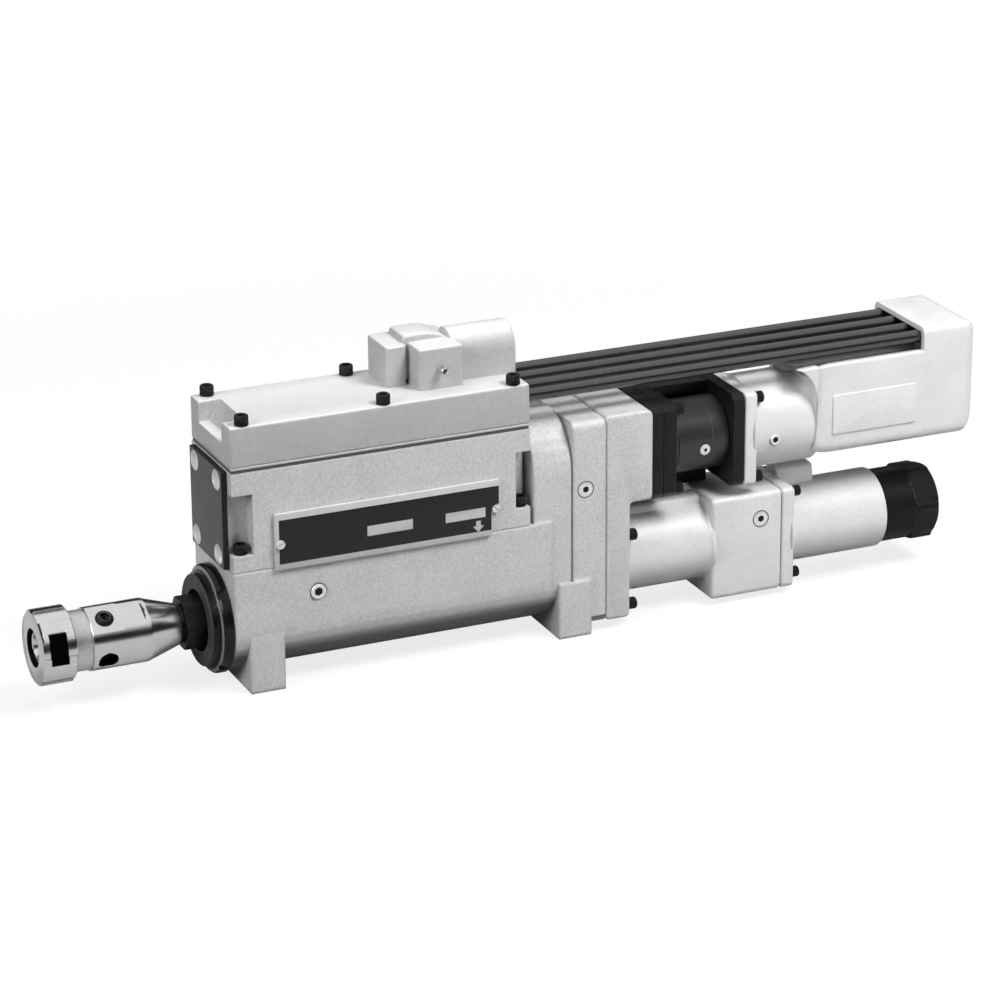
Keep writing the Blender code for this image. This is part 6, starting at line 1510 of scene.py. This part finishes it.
@dataclass
class GearCase:
    """Cover over the gears, the black plates behind it and the round case of the planet gears."""

    corner: float = 4.0 * MM
    drum_radius: float = 24.0 * MM
    plate_half: float = 28.8 * MM
    plate_depth: float = 9.2 * MM
    web: tuple[float, float, float] = mm(9.0, 19.0, 28.3)

    def cover(self) -> None:
        """L shaped cover: its side outline carried across, with rounded rims."""
        low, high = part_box("gear_cover")
        step_x, high_x, step_z = 249.0 * MM, 264.8 * MM, 84.5 * MM
        outline = [(low.z, low.x), (high.z, low.x), (high.z, high_x), (step_z, high_x), (step_z, step_x),
                   (low.z, step_x)]
        cuts = mm(3.6, 3.6, 5.6, 3.6, 2.4, 3.6)
        piece = prism("gear_lid", round_corners(outline, cuts, 7), Axis.Y, low.y, high.y, 2.0 * MM)
        fit(piece, CastAluminium(edge=0.9 * MM).paint, "head", "gear_cover")
        for number, (y, z) in enumerate([(y, z) for y in mm(-27.8, 27.8) for z in mm(13.5, 60.9)], 1):
            cross_bolt(f"cover_bolt_{number}", step_x, (y, z))
        light_plug("flange_plug", (217.3 * MM, low.y - 0.3 * MM, 99.0 * MM), 5.3 * MM, 1.9 * MM, seat=True)
        light_plug("block_side_plug", mm(346.3, -26.9, 56.0), 5.3 * MM, 2.0 * MM, seat=True)

    def plate(self, name: str, node: str) -> None:
        """Square plate with cut corners.

        Args:
            name: name of the piece.
            node: the node that it stands for.
        """
        low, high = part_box(node)
        (a, b), (c, d), cut = (-self.plate_half, PLATE_LOW), (self.plate_half, PLATE_TOP), self.corner
        outline = [(a + cut, b), (c - cut, b), (c, b + cut), (c, d - cut), (c - cut, d), (a + cut, d), (a, d - cut),
                   (a, b + cut)]
        end = min(high.x, low.x + self.plate_depth)
        piece = prism(name, round_corners(outline, 0.7 * MM, 4), Axis.X, low.x, end, 0.35 * MM)
        # Its rub paints the plate's edges and cut corners lighter, partly a painted highlight.
        fit(piece, BlackOxide(grey=(0.010,) * 3, roughness=0.42, rub=0.55, edge=0.5 * MM).paint, "head", node)

    def build(self) -> None:
        """Builds the cover, the plates, their screws and the round case."""
        self.cover()
        for name, node in (("case_plate_1", "front_gear_plate"), ("case_plate_2", "middle_gear_plate"),
                           ("case_plate_3", "rear_gear_plate")):
            self.plate(name, node)
        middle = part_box("front_gear_plate")[1].x + 9.5 * MM
        for number, z in enumerate(mm(86.2, 139.8), 1):
            cross_bolt(f"case_bolt_{number}", middle, (-24.0 * MM, z), 3.9 * MM, 6.0 * MM)
        low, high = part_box("ring_gear")
        radius = self.drum_radius
        groove = low.x + 0.70 * (high.x - low.x)
        rows = [(low.x, 17.5 * MM), (low.x, radius - 0.2 * MM), (low.x + 3.6 * MM, radius),
                (low.x + 3.9 * MM, radius - 0.5 * MM),
                (low.x + 4.2 * MM, radius), (groove, radius), (groove + 0.3 * MM, radius - 0.35 * MM),
                (groove + 0.6 * MM, radius - 0.1 * MM), (high.x - 0.5 * MM, radius - 0.1 * MM),
                (high.x, radius - 0.6 * MM),
                (high.x, 17.5 * MM)]
        drum = turned("planet_case", rows, (0.0, 112.5 * MM), steps=160, loop=True)
        drum_black = BlackOxide(grey=(0.016, 0.016, 0.0165), roughness=0.40, gloss=0.55, rub=0.6, edge=0.3 * MM)
        fit(drum, drum_black.paint, "head", "ring_gear")
        near, waist, far = self.web
        outside = round_corners([(near, low.z), (far, low.z), (far, 144.0 * MM), (near, 144.0 * MM),
                                 (near, 137.0 * MM), (waist, 130.0 * MM), (waist, 95.0 * MM),
                                 (near, 88.0 * MM)], 0.8 * MM, 3)
        fit(prism("case_web", outside, Axis.X, low.x, high.x, 0.4 * MM), BlackOxide(edge=0.5 * MM).paint, "head")
        light_plug("case_plug", mm(306.5, -24.8, 108.9), 3.6 * MM, 1.1 * MM)


@dataclass
class ControlLid:
    """Cast lid with its notch, the three valve housings on it and the air fitting."""

    # The lid's casting is a darker grey for its sides in shade, and its crown paints the faces that look up lighter:
    # painted shade and painted light.
    paint_with: CastAluminium = CastAluminium(grey=(0.47, 0.47, 0.465), grain=0.30, crown=0.5)
    notch_half: float = 20.5 * MM
    notch_depth: float = 13.5 * MM
    notch_flat: float = 7.5 * MM
    notch_slope: float = 7.0 * MM
    base: float = 172.6 * MM
    top: float = 175.6 * MM
    valve_top: float = 201.4 * MM
    rear: float = 178.1 * MM

    def slab(self, low: Vector, high_x: float) -> None:
        """Slab with a lip round its foot, lofted along X over sections whose notch runs out on a slope.

        The rims of both ends are drawn in by a quarter circle.

        Args:
            low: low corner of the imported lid.
            high_x: x of its rear face.
        """
        edge, half = 1.2 * MM, -low.y
        turn = np.linspace(0.0, math.pi / 2, 5)
        rim = edge * (1 - np.cos(turn)), edge * (1 - np.sin(turn))
        floor_end = low.x + self.notch_flat
        slope_end = floor_end + self.notch_slope
        x = np.concatenate([low.x + rim[0], [floor_end], [slope_end, slope_end + 1.0 * MM], high_x - rim[0][::-1]])
        inset = np.concatenate([rim[1], [0.0, 0.0, 0.0], rim[1][::-1]])
        depth = np.interp(x, [floor_end, slope_end], [self.notch_depth, 0.02 * MM])
        foot = low.z
        rows = []
        for where, drawn, deep in zip(x, inset, depth):
            corners = [(-half, foot), (half, foot), (half, foot + 1.5 * MM), (half - 0.5 * MM, foot + 1.7 * MM),
                       (half - 0.5 * MM, foot + 2.1 * MM), (half, foot + 2.3 * MM), (half, self.top),
                       (self.notch_half, self.top), (self.notch_half, self.top - deep),
                       (-self.notch_half, self.top - deep), (-self.notch_half, self.top), (-half, self.top),
                       (-half, foot + 2.3 * MM), (-half + 0.5 * MM, foot + 2.1 * MM),
                       (-half + 0.5 * MM, foot + 1.7 * MM), (-half, foot + 1.5 * MM)]
            line = round_corners(corners, [0.6 * MM] * 2 + [0.1 * MM] * 4 + [1.8 * MM] * 6 + [0.1 * MM] * 4, 5)
            middle = (foot + self.top) / 2
            across = np.clip(np.abs(line[:, 0]) - (half - 6 * MM), 0, None) / (6 * MM) * np.sign(line[:, 0])
            line = line - np.column_stack([across, (line[:, 1] - middle) / (self.top - middle)]) * drawn
            rows.append(np.column_stack([np.full(len(line), where), line]))
        fit(grid_object("lid_slab", np.stack(rows)), self.paint_with.paint, "head", "lid")

    def housings(self) -> None:
        """Front housing with a slot behind it, box, low crown, and barrel with a half-round top."""
        front = round_corners([mm(94.5, 27), mm(94.5, -5), mm(108.6, -5), mm(108.6, 4),
                               mm(112.5, 4), mm(112.5, 27)],
                              mm(2.4, 2.4, 4.5, 1.6, 0.5, 2.4), 7)
        box = rounded_box(mm(110.5, -19), mm(140.5, 26), 2.2 * MM, 6)
        crown_top = self.valve_top + 4.8 * MM
        crown = round_corners([(self.top, 106.2 * MM), (crown_top, 107.6 * MM), (crown_top, 129.0 * MM),
                               (self.valve_top - 2 * MM, 141.5 * MM), (self.top, 141.5 * MM)],
                              mm(0.5, 4.0, 7.0, 6.0, 0.5), 9)
        radius, axis_z = 15.8 * MM, self.valve_top - 10.9 * MM
        turn = np.linspace(0.0, math.pi, 41)
        barrel = np.concatenate([[(5.5 * MM - radius, self.base), (5.5 * MM + radius, self.base)],
                                 np.column_stack([5.5 * MM + radius * np.cos(turn), axis_z + radius * np.sin(turn)])])
        for name, outline, axis, start, end, edge in (
                ("front_valve", front, Axis.Z, self.base, self.valve_top, 1.1 * MM),
                ("valve_box", box, Axis.Z, self.base, self.valve_top + 0.6 * MM, 1.4 * MM),
                ("valve_crown", crown, Axis.Y, 0.0, 24 * MM, 2.2 * MM),
                ("valve_barrel", barrel, Axis.X, 137.5 * MM, 180.0 * MM, 1.4 * MM)):
            fit(prism(name, outline, axis, start, end, edge), self.paint_with.paint, "head")

    def fitting(self) -> None:
        """Short pipe with a flared foot and an open bore."""
        low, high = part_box("air_fitting")
        radius, bore = (high.x - low.x) / 2, 1.5 * MM
        tip = low.y
        rows = [(tip + 5 * MM, 0.0), (tip + 5 * MM, bore), (tip + 0.3 * MM, bore), (tip, bore + 0.3 * MM),
                (tip, radius - 0.5 * MM), (tip + 0.4 * MM, radius - 0.2 * MM), (tip + 5.4 * MM, radius - 0.2 * MM),
                (tip + 5.9 * MM, radius), (high.y, radius), (high.y, 0.0)]
        centre = ((low.z + high.z) / 2, (low.x + high.x) / 2)
        fit(turned("fitting", rows, centre, Axis.Y, 48), GroundSteel().paint, "head", "air_fitting")

    def build(self) -> None:
        """Builds the slab, the housings and the fitting."""
        low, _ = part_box("lid")
        self.slab(low, self.rear)
        self.housings()
        self.fitting()


@dataclass
class MotorHousing:
    """Motor casting: flange, round front, box with a dished deck, and the cap over the tubes."""

    half_width: float = 33.6 * MM
    barrel_radius: float = 31.4 * MM
    box_low: float = 94.9 * MM
    box_top: float = 157.0 * MM
    deck: float = 150.0 * MM
    dish: float = 62.0 * MM
    box_start: float = 365.6 * MM
    front_run: float = 17.0 * MM
    front_rise: float = 24.0 * MM
    lower_corner: float = 9.0 * MM
    flange_half: float = 30.0 * MM
    cap_half: float = 33.65 * MM
    cap_length: float = 38.6 * MM
    cap_round: float = 8.0 * MM
    paint_with: CastAluminium = CastAluminium(grey=(0.74, 0.74, 0.73), grain=0.16, roughness=0.40, metallic=0.30,
                                              edge=1.2 * MM)

    def section(self, low: float, corner: float, inset: float = 0.0) -> Array:
        """Section of the box, anticlockwise from its lower near corner.

        The deck between the two rims follows z = deck + dish - sqrt(dish^2 - y^2).

        Args:
            low: z of its underside.
            corner: rounding of the lower corners.
            inset: how far the whole outline is drawn in.

        Returns:
            Points of y and z.
        """
        half, top = self.half_width - inset, self.box_top - inset
        lower = round_corners([(-half, low + inset), (half, low + inset), (half, top), (-half, top)],
                              [corner, corner, 1.8 * MM, 1.8 * MM], 9)
        rim = 28.0 * MM
        y = np.linspace(rim, -rim, 25)
        bowl = self.deck + self.dish - np.sqrt(self.dish ** 2 - y ** 2) - inset
        split = 27
        return np.concatenate([lower[:split], np.stack([y, np.minimum(bowl, top)], 1), lower[split:]])

    def box(self, start: float, end: float) -> None:
        """Box, lofted from sections whose underside rises in front along a quarter ellipse.

        Args:
            start: x of its front.
            end: x where it runs into the cap.
        """
        turn = np.linspace(0.12, math.pi / 2, 10)
        rows = []
        for t in turn:
            low = self.box_top - self.front_rise * (1 - math.cos(t)) - 1.5 * MM
            outline = self.section(low, 1.0 * MM, max(0.0, 0.9 * MM * (1 - t)))
            rows.append(np.column_stack([np.full(len(outline), start + self.front_run * math.sin(t)), outline]))
        shoulder = start + self.front_run
        for x, inset in ((shoulder + 0.05 * MM, 1.9 * MM), (shoulder + 1.5 * MM, 1.3 * MM),
                         (shoulder + 5 * MM, 0.6 * MM), (shoulder + 9 * MM, 0.2 * MM),
                         (shoulder + 14 * MM, 0.0), (end, 0.0)):
            outline = self.section(self.box_low, self.lower_corner, inset)
            rows.append(np.column_stack([np.full(len(outline), x), outline]))
        # The dish of the deck beside and under the tubes is painted darker: painted shade.
        finish = replace(self.paint_with, stain=(28.3 * MM, self.deck - 1.5 * MM, self.box_top + 1 * MM, end))
        fit(grid_object("motor_box", np.stack(rows)), finish.paint, "head")

    def cap(self, start: float, end: float, top: float) -> None:
        """Rear cap with every edge rounded and a pocket in front, into which the tubes run.

        Its underside rises at the rear along an ellipse, and the rows near its rear are drawn in by
        a quarter circle.

        Args:
            start: x of its front.
            end: x of its rear.
            top: z of its top.
        """
        floor = start + 9.5 * MM
        bend = end - self.cap_round
        x = np.concatenate([[floor], np.linspace(floor + 1 * MM, bend, 4),
                            end - self.cap_round * (1 - np.sin(np.linspace(0.1, math.pi / 2, 10)))])
        back = np.clip((x - bend) / self.cap_round, 0, 1)
        inset = 4.6 * MM * (1 - np.sqrt(1 - back ** 2 * 0.998))
        rise = 13 * MM * (1 - np.sqrt(1 - back ** 2 * 0.998))
        outer = []
        for where, drawn, up in zip(x[::-1], inset[::-1], rise[::-1]):
            side, low = self.cap_half - drawn, self.box_low + up
            line = round_corners([(-side, low), (side, low), (side, top - drawn), (-side, top - drawn)],
                                 [self.lower_corner] * 2 + [5.5 * MM] * 2, 9)
            outer.append(np.column_stack([np.full(len(line), where), line]))
        rim = outer[-1][:, 1:]
        inner = round_corners([(-28.6 * MM, self.deck), (29.5 * MM, self.deck), (29.5 * MM, top - 3.9 * MM),
                               (-28.6 * MM, top - 3.9 * MM)], 5.0 * MM, 9)
        drawn = rim + (rim.mean(0) - rim) * 0.018
        wide = inner + (inner - inner.mean(0)) * 0.03
        rows = [(start + 1.2 * MM, rim), (start + 0.3 * MM, (rim * 2 + drawn) / 3), (start, drawn), (start, wide),
                (start + 0.5 * MM, inner), (floor, inner)]
        front = [np.column_stack([np.full(len(line), where), line]) for where, line in rows]
        # The pocket in front of the cap, into which the tubes run, is painted darker: painted shade.
        finish = replace(self.paint_with, edge=0.3 * MM, stain=(29.6 * MM, self.deck - 1 * MM, top - 3.6 * MM,
                                                                floor + 0.2 * MM))
        fit(grid_object("motor_cap", np.stack(outer + front)), finish.paint, "head", "motor_housing")

    def build(self) -> None:
        """Builds the casting's pieces, its name pad left bare, and the flange's two screws."""
        low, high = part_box("motor_housing")
        flange = low.x + 8.1 * MM
        outline = rounded_box((-self.flange_half, PLATE_LOW), (self.flange_half, PLATE_TOP), 3.6 * MM, 6)
        fit(prism("motor_flange", outline, Axis.X, low.x, flange, 0.7 * MM), self.paint_with.paint, "head")
        start, cap_start = self.box_start, high.x - self.cap_length
        rows = [(flange - 2 * MM, 0.0), (flange - 2 * MM, self.barrel_radius), (flange, self.barrel_radius),
                (flange + 0.1 * MM, self.barrel_radius - 0.1 * MM), (start + 16 * MM, self.barrel_radius),
                (start + 22 * MM, self.barrel_radius), (start + 22 * MM, 0.0)]
        fit(turned("motor_barrel", rows, (0.0, MOTOR_Z), steps=160), self.paint_with.paint, "head")
        self.box(start, cap_start + 5 * MM)
        self.cap(cap_start, high.x, high.z)
        pad = rounded_box(mm(109.0, 393.6), mm(136.0, 454.6), 1.2 * MM, 5)
        fit(prism("name_pad", pad, Axis.Y, -self.half_width - 0.8 * MM, -self.half_width + 3 * MM, 0.35 * MM),
            self.paint_with.paint, "head")
        for number, z in enumerate(mm(86.0, 140.0), 1):
            cross_bolt(f"motor_bolt_{number}", flange, (-25.6 * MM, z), 3.9 * MM, 5.6 * MM)


def lid_and_block_screws() -> None:
    """Builds the ten cap screws at the places of their nodes."""
    for node in numbered("lid_screw", 6) + numbered("block_screw", 4):
        low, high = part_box(node)
        fasten(f"cap_{node}", high.z, ((low.x + high.x) / 2, (low.y + high.y) / 2), node)


# --------------------------------------------------------------------------- carried-over nodes

class Finish(Enum):
    """Finishes of the nodes that are shown as they were packed."""

    CASTING = CastAluminium()
    # The soft casting carries painted shade under the housing's curve.
    SOFT_CASTING = CastAluminium(edge=3.6 * MM, wear=0.06, belly=0.88)
    SMOOTH_CASTING = CastAluminium(grain=0.10, roughness=0.40, metallic=0.45)
    STEEL = GroundSteel()
    TURNED = TurnedSteel()
    BLACK = BlackOxide()
    BLACK_PLATE = BlackOxide(grey=(0.010, 0.010, 0.0105), roughness=0.40, rub=0.35, edge=0.5 * MM)
    BRONZE = Bronze()
    GASKET = GasketPaper()
    TUBE = BlackNylon()


NODE_FINISH: dict[Finish, tuple[str, ...]] = {
    Finish.CASTING: ("control_block", "lid", "gear_cover"),
    Finish.SOFT_CASTING: ("lower_housing",),
    Finish.SMOOTH_CASTING: ("motor_housing", "lead_screw_housing", "rear_sleeve"),
    Finish.STEEL: ("air_fitting", "chuck_set_screw", "cover_pivot_screw", "cover_latch_screw", "stroke_rod",
                   "valve_spool", "side_plug", "motor_plug", "stroke_dog", "trip_yoke", "feed_collar",
                   "idler_pin", "motor_end_plate", "motor_liner"),
    Finish.TURNED: ("chuck_body", "chuck_nut", "tap_collet", "lead_screw", "drive_gear", "idler_gear",
                    "output_pinion", "planet_carrier", *numbered("planet_gear", 3), "rotor"),
    Finish.BLACK: ("front_ring", "spindle_shaft", "lead_nut_cap", "ring_gear",
                   *numbered("lid_screw", 6), *numbered("block_screw", 4)),
    Finish.BLACK_PLATE: ("front_plate", "front_gear_plate", "middle_gear_plate", "rear_gear_plate",
                         "stroke_cover"),
    Finish.BRONZE: ("front_bushing", "gear_bearing", "lead_nut"),
    Finish.GASKET: ("lid_gasket",),
    Finish.TUBE: tuple(numbered("air_tube", 4)),
}


def dress_nodes() -> None:
    """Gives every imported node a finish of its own."""
    for finish, names in NODE_FINISH.items():
        for name in names:
            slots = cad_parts[name].data.materials
            slots.clear()
            slots.append(finish.value.paint(name))
    LOG.info("dressed %d nodes", sum(len(names) for names in NODE_FINISH.values()))


def main() -> None:
    """Builds the scene in order."""
    logging.basicConfig(level=logging.INFO, format="%(name)s: %(message)s")
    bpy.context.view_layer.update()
    PhotoCamera().set_up()
    Studio().set_up()
    dress_nodes()
    for assembly in (Chuck(), SpindleNose(), FrontRing(), FrontPlate(), StrokeCover(), Plugs(), AirTubes(),
                     ScrewHousing(), GearCase(), MotorHousing(), ControlLid()):
        assembly.build()
    lid_and_block_screws()


if __name__ == "__main__":
    main()
